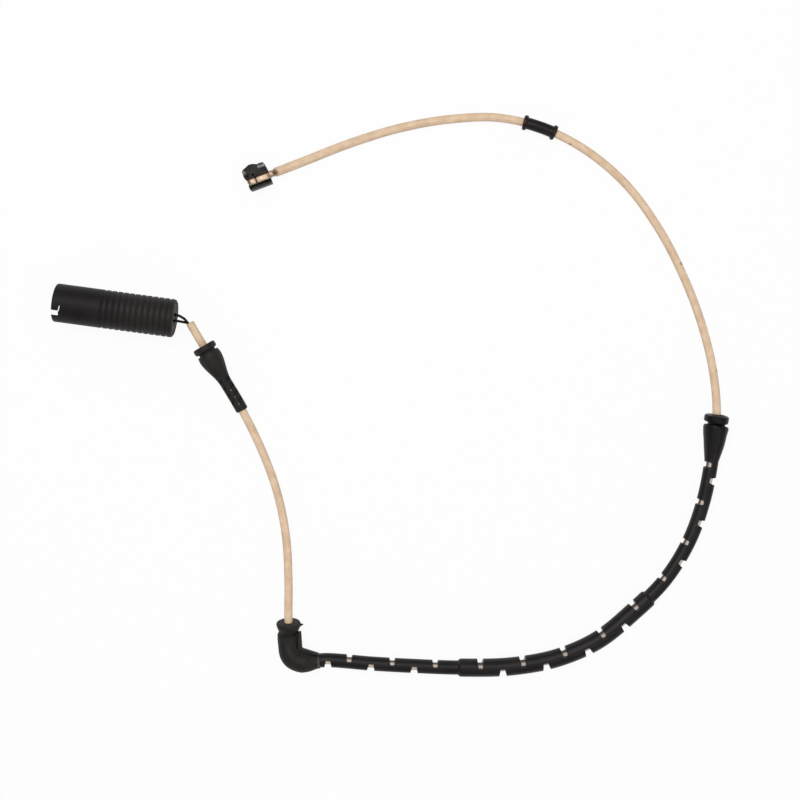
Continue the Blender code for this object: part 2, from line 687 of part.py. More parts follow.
def notched_guide(parts, cutters):
    """The long plastic guide. Notches cut to its middle from alternate sides let it bend, and its
    end is a cone grommet moulded in one with it."""
    thin = BORE_RADIUS + GUIDE_WALL
    wide = BORE_RADIUS + GUIDE_WIDE_WALL
    outline = [
        (GUIDE_START, thin),
        (WIDE_START, thin),
        (WIDE_START + GUIDE_CHAMFER, wide),
        (WIDE_END - GUIDE_CHAMFER, wide),
        (WIDE_END, thin),
        (CONE_START, thin),
        (CONE_START + CONE_LENGTH * 0.4, thin + (CONE_RADIUS - thin) * 0.5),
        (CONE_SHOULDER - STEP, CONE_RADIUS),
        (CONE_SHOULDER, CONE_NECK_RADIUS),
        (CONE_FLANGE_START - STEP, CONE_NECK_RADIUS),
        (CONE_FLANGE_START, CONE_FLANGE_RADIUS),
        (GUIDE_END - CONE_FLANGE_EDGE, CONE_FLANGE_RADIUS),
        (GUIDE_END, CONE_FLANGE_RADIUS - CONE_FLANGE_EDGE),
    ]
    guide = along_cable("notched_guide", outline, SLEEVE_SPACING, SLEEVE_ARC_COUNT, parts)
    key_size = (2 * CONE_NECK_LENGTH, CONE_KEY_WIDTH, CONE_KEY_HEIGHT)
    key_place = cable_frame(CONE_SHOULDER + CONE_NECK_LENGTH / 2)
    key_lift = (0, 0, CONE_NECK_RADIUS + CONE_KEY_HEIGHT / 2 - 2 * CLEARANCE)
    join(guide, box("cone_key", key_size, key_place, cutters, key_lift))
    bore(guide, GUIDE_START, GUIDE_END, SLEEVE_SPACING, cutters)
    count = int((CONE_START - GUIDE_START - NOTCH_FIRST) / NOTCH_PITCH) + 1
    for k in range(count):
        along = GUIDE_START + NOTCH_FIRST + k * NOTCH_PITCH
        shoulder = min(abs(along - WIDE_START), abs(along - WIDE_END))
        if shoulder < NOTCH_WIDTH + GUIDE_CHAMFER:
            continue
        depth = guide_radius(along) + OVERCUT
        side = -1 if k % 2 == 0 else 1
        size = (NOTCH_WIDTH, depth, 2 * depth)
        cut(guide, box(f"notch_{k}", size, cable_frame(along), cutters, (0, side * depth / 2, 0)))
    return finish(guide, BLACK_PLASTIC)


def spool_sleeve(parts, cutters):
    """The small flanged sleeve that a clip on the vehicle holds."""
    start = SPOOL_MIDDLE - SPOOL_LENGTH / 2
    end = SPOOL_MIDDLE + SPOOL_LENGTH / 2
    barrel = BORE_RADIUS + SPOOL_WALL
    flange = barrel + SPOOL_FLANGE_HEIGHT
    outline = [
        (start, flange),
        (start + SPOOL_FLANGE_THICKNESS, flange),
        (start + SPOOL_FLANGE_THICKNESS + STEP, barrel),
        (end - SPOOL_FLANGE_THICKNESS - STEP, barrel),
        (end - SPOOL_FLANGE_THICKNESS, flange),
        (end, flange),
    ]
    spool = along_cable("spool_sleeve", outline, SLEEVE_SPACING, SLEEVE_ARC_COUNT, parts)
    bore(spool, start, end, SLEEVE_SPACING, cutters)
    return finish(spool, BLACK_PLASTIC)


def head_axis():
    """The head's frame, raised to the middle of the cable."""
    return head_frame() @ Matrix.Translation((0, 0, cable_point(CABLE_LENGTH).z))


def loop_points(extra):
    """The wear loop's line: in along one leg, round at the tip, and back, each leg longer by extra."""
    start = CLEARANCE + JACKET_LENGTH + CLEARANCE
    half = LOOP_PITCH / 2
    turn = start + LOOP_LENGTH - half
    steps = 8
    angles = [math.pi * k / steps - math.pi / 2 for k in range(steps + 1)]
    arc = [(turn + half * math.cos(angle), half * math.sin(angle), 0) for angle in angles]
    line = [(start - extra, -half, 0), *arc, (start - extra, half, 0)]
    return [head_axis() @ Vector(point) for point in line]


def sensor_body(parts, cutters):
    """The moulded wear head: a block and a lip with the groove for the pad's back plate between."""
    end = HEAD_START + HEAD_LENGTH
    upper = -HEAD_UPPER
    # Corners clockwise from the cable side of the lip; the upper block's top side is at negative Y.
    corners = [
        (HEAD_START, HEAD_LOWER),
        (end - LIP_BACK - LIP_CORNER_LENGTH, HEAD_LOWER),
        (end - LIP_BACK, HEAD_LOWER - LIP_CORNER_WIDTH),
        (end - LIP_BACK, THROAT_MOUTH),
        (end - THROAT_BACK, THROAT_LOWER),
        (end - THROAT_BACK, THROAT_UPPER),
        (end, NOSE_LOWER),
        (end, NOSE_UPPER),
        (end - CREST_BACK, upper),
        (end - BROW_BACK, upper + BROW_DROP),
        (end - DIP_BACK, upper + DIP_DROP),
        (end - LUG_BACK, upper + LUG_DROP),
        (HEAD_START + SHOULDER_SET_IN, upper + DIP_DROP),
        (HEAD_START + SHOULDER_SET_IN / 2, SHOULDER_UPPER),
        (HEAD_START, SHOULDER_LOWER),
    ]
    outline = bpy.data.curves.new("sensor_body", "CURVE")
    outline.dimensions = "2D"
    outline.fill_mode = "BOTH"
    outline.extrude = HEAD_HEIGHT / 2
    spline = outline.splines.new("POLY")
    spline.points.add(len(corners) - 1)
    for point, (x, y) in zip(spline.points, corners):
        point.co = (x, y, 0, 1)
    spline.use_cyclic_u = True
    flat = link("sensor_body", outline, parts)
    flat.matrix_world = head_frame() @ Matrix.Translation((0, 0, HEAD_HEIGHT / 2))
    body = mesh_of(flat, parts)
    edges = body.modifiers.new("Edges", "BEVEL")
    edges.width = HEAD_EDGE
    edges.limit_method = "ANGLE"
    edges.angle_limit = math.radians(50)

    place = head_frame()
    middle = HEAD_START + HEAD_LENGTH / 2
    groove_size = (HEAD_LENGTH + 2 * OVERCUT, GROOVE_WIDTH, HEAD_HEIGHT - GROOVE_FLOOR + OVERCUT)
    groove_lift = (middle, -GROOVE_MIDDLE, (HEAD_HEIGHT + GROOVE_FLOOR + OVERCUT) / 2)
    bridge_size = (BRIDGE_LENGTH, GROOVE_WIDTH + OVERCUT, BRIDGE_THICKNESS)
    bridge_lift = (BRIDGE_AT, -GROOVE_MIDDLE, HEAD_HEIGHT - HEAD_EDGE - BRIDGE_THICKNESS / 2)
    lug_size = (LUG_LENGTH, LUG_WIDTH, 2 * LUG_HEIGHT)
    lug_lift = (HEAD_START + 0.7 * MM + LUG_LENGTH / 2, upper + 1.2 * MM + LUG_WIDTH / 2, HEAD_HEIGHT)
    lug = box("head_lug", lug_size, place, cutters, lug_lift)
    for corner in lug.data.vertices:
        if corner.co.z > HEAD_HEIGHT and corner.co.y > lug_lift[1]:
            corner.co.z = HEAD_HEIGHT + 0.2 * LUG_HEIGHT
    cut(body, box("head_groove", groove_size, place, cutters, groove_lift))
    join(body, box("groove_bridge", bridge_size, place, cutters, bridge_lift), lug)

    axis = head_axis()
    ferrule_end = FERRULE_START + FERRULE_LENGTH + CLEARANCE
    ferrule_hole = JACKET_RADIUS + 2 * CLEARANCE + FERRULE_WALL
    jacket_end = CLEARANCE + JACKET_LENGTH + CLEARANCE
    cut(
        body,
        round_bar("ferrule_hole", ferrule_hole, 2 * ferrule_end, axis, cutters),
        round_bar("jacket_hole", JACKET_RADIUS + CLEARANCE, 2 * jacket_end, axis, cutters),
    )
    tunnel = tube_curve(
        "loop_tunnel", loop_points(OVERCUT), [WIRE_HOLE_RADIUS] * 11, CABLE_ARC_COUNT, cutters
    )
    cut(body, mesh_of(tunnel, cutters))
    upright = place @ Matrix.Rotation(-math.pi / 2, 4, "Y")
    for number, (x, y, radius) in enumerate(((9.7, -2.3, PIT_RADIUS), (12.05, -2.4, PIT_RADIUS * 0.65))):
        pit_lift = (HEAD_HEIGHT, y * MM, -x * MM)
        cut(body, round_bar(f"pit_{number}", radius, 2 * PIT_DEPTH, upright, cutters, pit_lift, 10))
    return finish(body, BLACK_PLASTIC)


def inner_jacket(parts):
    """The cable's inner jacket, bared where the sheath is cut back, with the crimped ferrule on it."""
    axis = head_axis()
    jacket = round_bar(
        "inner_jacket", JACKET_RADIUS, JACKET_LENGTH, axis, parts, (CLEARANCE + JACKET_LENGTH / 2, 0, 0)
    )
    finish(jacket, BROWN_JACKET)
    inner = JACKET_RADIUS + CLEARANCE
    outer = inner + FERRULE_WALL
    end = FERRULE_START + FERRULE_LENGTH
    outline = [(outer, FERRULE_START), (outer, end), (inner, end), (inner, FERRULE_START)]
    facing = axis @ Matrix.Rotation(-math.pi / 2, 4, "Y")
    return finish(turned("crimp_ferrule", outline, SMALL_SIDES, facing, parts), COPPER)


def retaining_spring(parts):
    """The bronze leaf spring in the groove, bowed up on each side of the bridge."""
    start = HEAD_START + 0.9 * MM
    end = HEAD_START + HEAD_LENGTH - 1.2 * MM
    half = GROOVE_WIDTH / 2 - CLEARANCE
    steps = 16
    lowest = GROOVE_FLOOR + CLEARANCE
    bows = ((start, BRIDGE_AT), (BRIDGE_AT, end))
    strip = bmesh.new()
    rows = []
    for first, last in bows:
        for k in range(steps // 2 + (last == end)):
            share = 2 * k / steps
            x = first + (last - first) * share
            z = lowest + SPRING_BOW * math.sin(math.pi * share)
            rows.append([strip.verts.new((x, -GROOVE_MIDDLE + side * half, z)) for side in (-1, 1)])
    for before, after in zip(rows, rows[1:]):
        strip.faces.new((before[0], after[0], after[1], before[1]))
    mesh = bpy.data.meshes.new("retaining_spring")
    strip.to_mesh(mesh)
    strip.free()
    spring = link("retaining_spring", mesh, parts)
    spring.matrix_world = head_frame()
    thick = spring.modifiers.new("Thickness", "SOLIDIFY")
    thick.thickness = SPRING_THICKNESS
    thick.offset = 1
    return finish(spring, BRONZE)


def wear_loop(parts):
    """The wire loop in the head that the disc grinds through when the pad is worn."""
    points = loop_points(0)
    return finish(tube_curve("wear_loop", points, [CORE_RADIUS] * len(points), CABLE_ARC_COUNT, parts), COPPER)


def main():
    for old in list(bpy.data.objects):
        bpy.data.objects.remove(old, do_unlink=True)
    scene = bpy.context.scene.collection
    parts = new_collection("brake_pad_wear_sensor", scene)
    cutters = new_collection("cutters", scene)
    cutters.hide_render = True

    connector_shell(parts, cutters)
    contact_carrier(parts, cutters)
    face_seal(parts)
    contact_sockets(parts)
    rear_seal(parts, cutters)
    core_wires(parts)
    cable_sheath(parts)
    bulb_grommet(parts, cutters)
    elbow_grommet(parts, cutters)
    notched_guide(parts, cutters)
    spool_sleeve(parts, cutters)
    sensor_body(parts, cutters)
    inner_jacket(parts)
    retaining_spring(parts)
    wear_loop(parts)


main()
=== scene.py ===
"""Brake pad wear sensor, seen from straight above on a white table."""

import math

import bmesh
import bpy
import numpy as np
from mathutils import Matrix, Vector


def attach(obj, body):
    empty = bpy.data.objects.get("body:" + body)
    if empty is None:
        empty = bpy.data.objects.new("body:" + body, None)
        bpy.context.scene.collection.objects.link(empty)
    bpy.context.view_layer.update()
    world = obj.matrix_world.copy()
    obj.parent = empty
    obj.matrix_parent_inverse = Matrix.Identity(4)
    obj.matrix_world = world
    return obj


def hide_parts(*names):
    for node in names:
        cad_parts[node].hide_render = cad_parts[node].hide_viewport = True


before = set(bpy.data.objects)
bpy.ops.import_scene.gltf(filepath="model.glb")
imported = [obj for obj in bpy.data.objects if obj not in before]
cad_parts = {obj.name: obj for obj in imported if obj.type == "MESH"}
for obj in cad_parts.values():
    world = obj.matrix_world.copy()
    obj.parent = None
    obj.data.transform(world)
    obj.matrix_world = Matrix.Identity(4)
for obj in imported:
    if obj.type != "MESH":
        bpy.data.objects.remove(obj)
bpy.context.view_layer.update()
MM = 0.001


# The white table. The sensor lies on a white sheet under soft light from all round, and hardly
# throws a shadow. The table isn't part of the sensor.
bpy.ops.object.select_all(action="DESELECT")
bpy.ops.mesh.primitive_plane_add(size=3.0, location=(0, 0, 0))
table = bpy.context.object
table.name = "table"
paper = bpy.data.materials.new("white_paper")
paper.use_nodes = True
nodes = paper.node_tree.nodes
links = paper.node_tree.links
nodes.clear()
lit_paper = nodes.new("ShaderNodeBsdfDiffuse")
lit_paper.inputs["Color"].default_value = (0.95, 0.95, 0.95, 1)
white_glow = nodes.new("ShaderNodeEmission")
white_glow.inputs["Color"].default_value = (1, 1, 1, 1)
white_glow.inputs["Strength"].default_value = 1.0
rays = nodes.new("ShaderNodeLightPath")
seen = nodes.new("ShaderNodeMath")
seen.operation = "MAXIMUM"
links.new(rays.outputs["Is Camera Ray"], seen.inputs[0])
links.new(rays.outputs["Is Glossy Ray"], seen.inputs[1])
seen_through = nodes.new("ShaderNodeMath")
seen_through.operation = "MAXIMUM"
links.new(seen.outputs[0], seen_through.inputs[0])
links.new(rays.outputs["Is Transmission Ray"], seen_through.inputs[1])
whiteness = nodes.new("ShaderNodeMath")
whiteness.operation = "MULTIPLY"
whiteness.inputs[1].default_value = 0.93
links.new(seen_through.outputs[0], whiteness.inputs[0])
table_mix = nodes.new("ShaderNodeMixShader")
links.new(whiteness.outputs[0], table_mix.inputs["Fac"])
links.new(lit_paper.outputs[0], table_mix.inputs[1])
links.new(white_glow.outputs[0], table_mix.inputs[2])
table_out = nodes.new("ShaderNodeOutputMaterial")
links.new(table_mix.outputs[0], table_out.inputs["Surface"])
table.data.materials.append(paper)

world = bpy.data.worlds.new("light_tent")
bpy.context.scene.world = world
world.use_nodes = True
world.node_tree.nodes["Background"].inputs["Color"].default_value = (1, 1, 1, 1)
world.node_tree.nodes["Background"].inputs["Strength"].default_value = 0.45
for lamp_name, place, size, power in (
    ("key_panel", (-0.2, 0.3, 1.0), 0.7, 5.0),
    ("fill_panel", (0.5, -0.3, 0.9), 0.8, 1.5),
):
    lamp_data = bpy.data.lights.new(lamp_name, "AREA")
    lamp_data.size = size
    lamp_data.energy = power
    lamp = bpy.data.objects.new(lamp_name, lamp_data)
    bpy.context.scene.collection.objects.link(lamp)
    lamp.location = place
    lamp.rotation_euler = Vector(place).to_track_quat("Z", "Y").to_euler()


# The camera. It looks straight down on the sensor from 63 cm, as a copying stand's does, and takes in
# the whole of it.
camera_data = bpy.data.cameras.new("copy_stand")
camera_data.lens = 67.5
camera_data.sensor_width = 36.0
camera = bpy.data.objects.new("copy_stand", camera_data)
bpy.context.scene.collection.objects.link(camera)
camera.location = (3.35 * MM, -1.65 * MM, 630.0 * MM)
camera.rotation_euler = (0, 0, 0)
bpy.context.scene.camera = camera
bpy.context.scene.view_settings.view_transform = "Standard"


# The cable. A cream silicone-coated glass sleeve, 3.5 mm thick, holds the two cores. It is cut square
# at the plug, where its mouth is open, and crimped at the wear head.
CABLE_ROUTE = [
    (-0.0839, 0.0304, 0.0073),
    (-0.0785, 0.0209, 0.0057),
    (-0.0716, 0.0095, 0.0048),
    (-0.0629, -0.0053, 0.0034),
    (-0.0547, -0.0222, 0.0022),
    (-0.0482, -0.0398, 0.0024),
    (-0.0443, -0.0580, 0.0042),
    (-0.0430, -0.0765, 0.0066),
    (-0.0430, -0.0931, 0.0063),
    (-0.0425, -0.1030, 0.0054),
    (-0.0405, -0.1079, 0.0053),
    (-0.0356, -0.1099, 0.0053),
    (-0.0266, -0.1100, 0.0051),
    (-0.0087, -0.1115, 0.0047),
    (0.0096, -0.1126, 0.0043),
    (0.0276, -0.1133, 0.0040),
    (0.0518, -0.1126, 0.0039),
    (0.0689, -0.1093, 0.0039),
    (0.0860, -0.1018, 0.0039),
    (0.1002, -0.0904, 0.0039),
    (0.1139, -0.0767, 0.0041),
    (0.1239, -0.0604, 0.0045),
    (0.1299, -0.0433, 0.0050),
    (0.1331, -0.0266, 0.0054),
    (0.1352, -0.0066, 0.0055),
    (0.1339, 0.0109, 0.0040),
    (0.1297, 0.0297, 0.0022),
    (0.1218, 0.0507, 0.0019),
    (0.1112, 0.0709, 0.0019),
    (0.0970, 0.0897, 0.0019),
    (0.0793, 0.1039, 0.0028),
    (0.0623, 0.1121, 0.0036),
    (0.0452, 0.1163, 0.0027),
    (0.0243, 0.1159, 0.0019),
    (0.0033, 0.1122, 0.0019),
    (-0.0176, 0.1058, 0.0019),
    (-0.0385, 0.0976, 0.0021),
    (-0.0482, 0.0938, 0.0025),
]
SHEATH_RADIUS = 1.725 * MM
SHEATH_END_RADIUS = 1.93 * MM
SHEATH_WIDENS_AT = 540.0 * MM
SHEATH_STEPS = 520
MOUTH_WALL = 0.3 * MM
MOUTH_DEPTH = 2.5 * MM
BRAID_PITCH = 1.4 * MM
BRAID_STRANDS = 8.0
CORD_CREAM = (0.88, 0.66, 0.46, 1)
CORD_TAN = (0.76, 0.54, 0.36, 1)
CORD_STREAK_AND_SIDE_SHADE = (0.44, 0.31, 0.23, 1)
CORD_GUIDE_LIGHT = (0.80, 0.69, 0.61, 1)
CORD_STAIN = (0.12, 0.06, 0.03, 1)
CORD_WINDOW_SHADE = (0.62, 0.58, 0.54, 1)
CORD_NOTCH_SHADE = (0.055, 0.03, 0.022, 1)


def smooth_route(points, step):
    """Points about step apart on a smooth curve through the given ones."""
    knots = np.array(points)
    chords = np.linalg.norm(np.diff(knots, axis=0), axis=1)[:, None]
    secants = np.diff(knots, axis=0) / chords
    slopes = np.empty_like(knots)
    slopes[1:-1] = (secants[:-1] * chords[1:] + secants[1:] * chords[:-1]) / (chords[:-1] + chords[1:])
    slopes[0] = 1.5 * secants[0] - 0.5 * slopes[1]
    slopes[-1] = 1.5 * secants[-1] - 0.5 * slopes[-2]
    fine = []
    for i, chord in enumerate(chords[:, 0]):
        count = max(2, math.ceil(chord / step))
        t = (np.arange(count) / count)[:, None]
        start = (2 * t**3 - 3 * t**2 + 1) * knots[i] + (t**3 - 2 * t**2 + t) * chord * slopes[i]
        end = (3 * t**2 - 2 * t**3) * knots[i + 1] + (t**3 - t**2) * chord * slopes[i + 1]
        fine.append(start + end)
    fine.append(knots[-1:])
    return np.concatenate(fine)


cable_points = smooth_route(CABLE_ROUTE, 0.5 * MM)
cable_along = np.concatenate([[0], np.cumsum(np.linalg.norm(np.diff(cable_points, axis=0), axis=1))])
CABLE_LENGTH = float(cable_along[-1])


def cable_point(along):
    """The point of the cable's middle line that lies this far along it, in metres."""
    return Vector([float(np.interp(along, cable_along, cable_points[:, k])) for k in range(3)])


def wire_curve(name, points, radius, roundness):
    """A round wire or tube through the points."""
    curve = bpy.data.curves.new(name, "CURVE")
    curve.dimensions = "3D"
    curve.twist_mode = "Z_UP"
    curve.bevel_depth = radius
    curve.bevel_resolution = roundness
    curve.use_fill_caps = radius > 0
    spline = curve.splines.new("POLY")
    spline.points.add(len(points) - 1)
    for point, place in zip(spline.points, points):
        point.co = (*place, 1)
    piece = bpy.data.objects.new(name, curve)
    bpy.context.scene.collection.objects.link(piece)
    return piece


def pick(piece):
    """Makes this the one selected and active object."""
    if bpy.context.object and bpy.context.object.mode != "OBJECT":
        bpy.ops.object.mode_set(mode="OBJECT")
    bpy.ops.object.select_all(action="DESELECT")
    piece.select_set(True)
    bpy.context.view_layer.objects.active = piece


def noise_of(material, scale, detail=3.0):
    """A noise pattern fixed to the piece, scale bumps to the metre."""
    nodes = material.node_tree.nodes
    place = nodes.new("ShaderNodeTexCoord")
    noise = nodes.new("ShaderNodeTexNoise")
    noise.inputs["Scale"].default_value = scale
    noise.inputs["Detail"].default_value = detail
    material.node_tree.links.new(place.outputs["Object"], noise.inputs["Vector"])
    return noise


def worked_out(material, operation, *values):
    """The result of one calculation on numbers or on other nodes' results."""
    node = material.node_tree.nodes.new("ShaderNodeMath")
    node.operation = operation
    for socket, value in zip(node.inputs, values):
        if isinstance(value, bpy.types.NodeSocket):
            material.node_tree.links.new(value, socket)
        else:
            socket.default_value = value
    return node.outputs[0]


def ramp_of(material, value, low, high, strength=1.0):
    """Rises from 0 at low to the strength at high."""
    ramp = material.node_tree.nodes.new("ShaderNodeMapRange")
    ramp.inputs["From Min"].default_value = low
    ramp.inputs["From Max"].default_value = high
    ramp.inputs["To Max"].default_value = strength
    material.node_tree.links.new(value, ramp.inputs["Value"])
    return ramp.outputs["Result"]


def tint(material, share, colour):
    """Blends the colour into the material's own by the share."""
    nodes = material.node_tree.nodes
    links = material.node_tree.links
    target = nodes["Principled BSDF"].inputs["Base Color"]
    before = target.links[0].from_socket
    blend = nodes.new("ShaderNodeMix")
    blend.data_type = "RGBA"
    links.new(share, blend.inputs["Factor"])
    links.new(before, blend.inputs["A"])
    blend.inputs["B"].default_value = colour
    links.new(blend.outputs["Result"], target)


def spot(material, place, radius, colour, strength):
    """A soft spot of another colour at the place."""
    nodes = material.node_tree.nodes
    where = nodes.new("ShaderNodeTexCoord")
    reach = nodes.new("ShaderNodeVectorMath")
    reach.operation = "DISTANCE"
    reach.inputs[1].default_value = place
    material.node_tree.links.new(where.outputs["Object"], reach.inputs[0])
    tint(material, ramp_of(material, reach.outputs["Value"], radius, radius * 0.3, strength), colour)


def finish_of(
    name, dark, light, rough=(0.45, 0.6), blotch=150.0, grain=2500.0, relief=0.02, metallic=0.0, specular=0.5
):
    """A material whose colour, gloss and fine surface all vary a little over the piece."""
    material = bpy.data.materials.new(name)
    material.use_nodes = True
    nodes = material.node_tree.nodes
    links = material.node_tree.links
    shader = nodes["Principled BSDF"]
    shader.inputs["Metallic"].default_value = metallic
    shader.inputs["Specular IOR Level"].default_value = specular
    patches = noise_of(material, blotch)
    tones = nodes.new("ShaderNodeValToRGB")
    tones.name = "tones"
    tones.color_ramp.elements[0].position = 0.35
    tones.color_ramp.elements[0].color = dark
    tones.color_ramp.elements[1].position = 0.65
    tones.color_ramp.elements[1].color = light
    links.new(patches.outputs["Fac"], tones.inputs["Fac"])
    links.new(tones.outputs["Color"], shader.inputs["Base Color"])
    gloss = nodes.new("ShaderNodeMapRange")
    gloss.inputs["To Min"].default_value = rough[0]
    gloss.inputs["To Max"].default_value = rough[1]
    smears = noise_of(material, blotch * 3)
    links.new(smears.outputs["Fac"], gloss.inputs["Value"])
    links.new(gloss.outputs["Result"], shader.inputs["Roughness"])
    fine = noise_of(material, grain, 4.0)
    bump = nodes.new("ShaderNodeBump")
    bump.name = "surface"
    bump.inputs["Strength"].default_value = 0.35
    bump.inputs["Distance"].default_value = relief * MM
    links.new(fine.outputs["Fac"], bump.inputs["Height"])
    links.new(bump.outputs["Normal"], shader.inputs["Normal"])
    return material


sheath_step = CABLE_LENGTH / SHEATH_STEPS
sheath_line = [cable_point(sheath_step * k) for k in range(SHEATH_STEPS + 1)]
sheath = wire_curve("sheath", sheath_line, SHEATH_RADIUS, 10)
for k, point in enumerate(sheath.data.splines[0].points):
    share = max(0.0, (sheath_step * k - SHEATH_WIDENS_AT) / (CABLE_LENGTH - SHEATH_WIDENS_AT))
    point.radius = 1 + (SHEATH_END_RADIUS / SHEATH_RADIUS - 1) * share
pick(sheath)
bpy.ops.object.convert(target="MESH")
sheath = bpy.context.object
sheath.name = "sheath"
bpy.ops.object.mode_set(mode="EDIT")
bpy.ops.mesh.select_mode(type="FACE")
bpy.ops.mesh.select_all(action="SELECT")
bpy.ops.mesh.remove_doubles(threshold=0.001 * MM)
bpy.ops.mesh.select_all(action="DESELECT")
mouth = sheath_line[0]
into = (sheath_line[1] - sheath_line[0]).normalized()
for face in bmesh.from_edit_mesh(sheath.data).faces:
    if (face.calc_center_median() - mouth).length < 0.2 * MM and len(face.verts) > 4:
        face.select = True
bmesh.update_edit_mesh(sheath.data)
bpy.ops.mesh.inset(thickness=MOUTH_WALL)
bpy.ops.mesh.extrude_region_move(TRANSFORM_OT_translate={"value": into * MOUTH_DEPTH})
bpy.ops.object.mode_set(mode="OBJECT")
bpy.ops.object.shade_smooth_by_angle(angle=math.radians(40))


def map_cable(piece, line, spacing):
    """A UV map with the length along the cable, in metres, and the turn round it from its top."""
    mesh = piece.data
    middles = np.array(line)
    ahead = np.gradient(middles, axis=0)
    ahead /= np.linalg.norm(ahead, axis=1)[:, None]
    left = np.cross((0, 0, 1), ahead)
    left /= np.linalg.norm(left, axis=1)[:, None]
    above = np.cross(ahead, left)
    along = []
    turns = []
    for vertex in mesh.vertices:
        near = int(np.argmin(np.linalg.norm(middles - vertex.co, axis=1)))
        offset = np.array(vertex.co) - middles[near]
        along.append(near * spacing)
        turns.append(math.atan2(offset @ left[near], offset @ above[near]) / (2 * math.pi))
    layer = mesh.uv_layers.new(name="cable_map")
    for face in mesh.polygons:
        corners = [turns[mesh.loops[k].vertex_index] for k in face.loop_indices]
        wraps = max(corners) - min(corners) > 0.5
        for k, turn in zip(face.loop_indices, corners):
            layer.data[k].uv = (along[mesh.loops[k].vertex_index], turn + (wraps and turn < 0))


def stretch_of(material, along, start, end):
    """1 between two places along the cable, in metres, and 0 elsewhere."""
    after = ramp_of(material, along, start, start + MM)
    before = ramp_of(material, along, end, end - MM)
    return worked_out(material, "MULTIPLY", after, before)


map_cable(sheath, sheath_line, sheath_step)
cream = finish_of(
    "cream_sheath", CORD_TAN, CORD_CREAM, rough=(0.5, 0.65), blotch=260.0, grain=1800.0, relief=0.05,
    specular=0.3,
)
nodes = cream.node_tree.nodes
links = cream.node_tree.links
cable_map = nodes.new("ShaderNodeUVMap")
cable_map.uv_map = "cable_map"
parted = nodes.new("ShaderNodeSeparateXYZ")
links.new(cable_map.outputs["UV"], parted.inputs[0])
along, turn = parted.outputs["X"], parted.outputs["Y"]
angle = worked_out(cream, "MULTIPLY", turn, 2 * math.pi)
across = worked_out(cream, "SINE", angle)
# Long uneven streaks follow the sleeve, and its sides are painted darker as shade.
streak_place = nodes.new("ShaderNodeCombineXYZ")
links.new(worked_out(cream, "MULTIPLY", along, 60.0), streak_place.inputs["X"])
links.new(across, streak_place.inputs["Y"])
links.new(worked_out(cream, "COSINE", angle), streak_place.inputs["Z"])
streaks = nodes.new("ShaderNodeTexNoise")
streaks.inputs["Scale"].default_value = 1.6
streaks.inputs["Detail"].default_value = 3.0
links.new(streak_place.outputs[0], streaks.inputs["Vector"])
tint(cream, ramp_of(cream, streaks.outputs["Fac"], 0.5, 0.75, 0.3), CORD_STREAK_AND_SIDE_SHADE)
side_shade_share = worked_out(cream, "MULTIPLY", across, across)
tint(cream, ramp_of(cream, side_shade_share, 0.4, 1.0, 0.3), CORD_STREAK_AND_SIDE_SHADE)
# A dark mark stays where something has rubbed the sleeve.
for mark, width in (((74.6, 105.4, 3.6), 1.0), ((120.9, 55.4, 3.0), 1.1), ((135.7, 10.6, 5.2), 1.1)):
    spot(cream, Vector(mark) * MM, width * MM, CORD_STAIN, 0.75)
# Under the bulb's tail the sleeve is painted greyer, as the shade seen through the tail's windows.
window_shade = stretch_of(cream, along, 0.029, 0.041)
tint(cream, ramp_of(cream, window_shade, 0.0, 1.0, 0.9), CORD_WINDOW_SHADE)
# Inside the notched guide the sleeve is painted paler, as painted light against the notches' shade, and
# painted shade runs along its inner side.
in_guide = stretch_of(cream, along, 0.158, 0.374)
tint(cream, ramp_of(cream, in_guide, 0.0, 1.0, 0.9), CORD_GUIDE_LIGHT)
notch_shade = worked_out(cream, "MULTIPLY", in_guide, ramp_of(cream, across, 0.5, 0.8, 0.9))
tint(cream, notch_shade, CORD_NOTCH_SHADE)
# The glass braid shows faintly through the coating as fine crossing threads.
steps_along = worked_out(cream, "MULTIPLY", along, 2 * math.pi / BRAID_PITCH)
ridges = worked_out(
    cream,
    "MULTIPLY",
    worked_out(cream, "SINE", worked_out(cream, "MULTIPLY_ADD", angle, BRAID_STRANDS, steps_along)),
    worked_out(cream, "SINE", worked_out(cream, "MULTIPLY_ADD", angle, -BRAID_STRANDS, steps_along)),
)
braid = nodes.new("ShaderNodeBump")
braid.inputs["Strength"].default_value = 0.5
braid.inputs["Distance"].default_value = 0.04 * MM
links.new(ridges, braid.inputs["Height"])
links.new(nodes["surface"].outputs["Normal"], braid.inputs["Normal"])
links.new(braid.outputs["Normal"], nodes["Principled BSDF"].inputs["Normal"])
sheath.data.materials.clear()
sheath.data.materials.append(cream)
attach(sheath, "root")
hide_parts("cable_sheath")


# The core wires. Two thin black insulated wires leave the rear seal side by side and bend down into
# the sheath's open mouth.
WIRE_RADIUS = 0.54 * MM
# Each wire's place across the seal, and the bend that it shows between the seal and the mouth.
WIRE_SIDES = (1.4, -1.0)
WIRE_BENDS = (
    ((-89.25, 33.6, 8.0), (-87.0, 32.6, 8.0), (-85.76, 31.7, 8.0), (-85.05, 30.8, 7.95)),
    ((-89.25, 31.15, 8.0), (-87.0, 30.75, 7.75), (-85.3, 30.45, 7.05)),
)
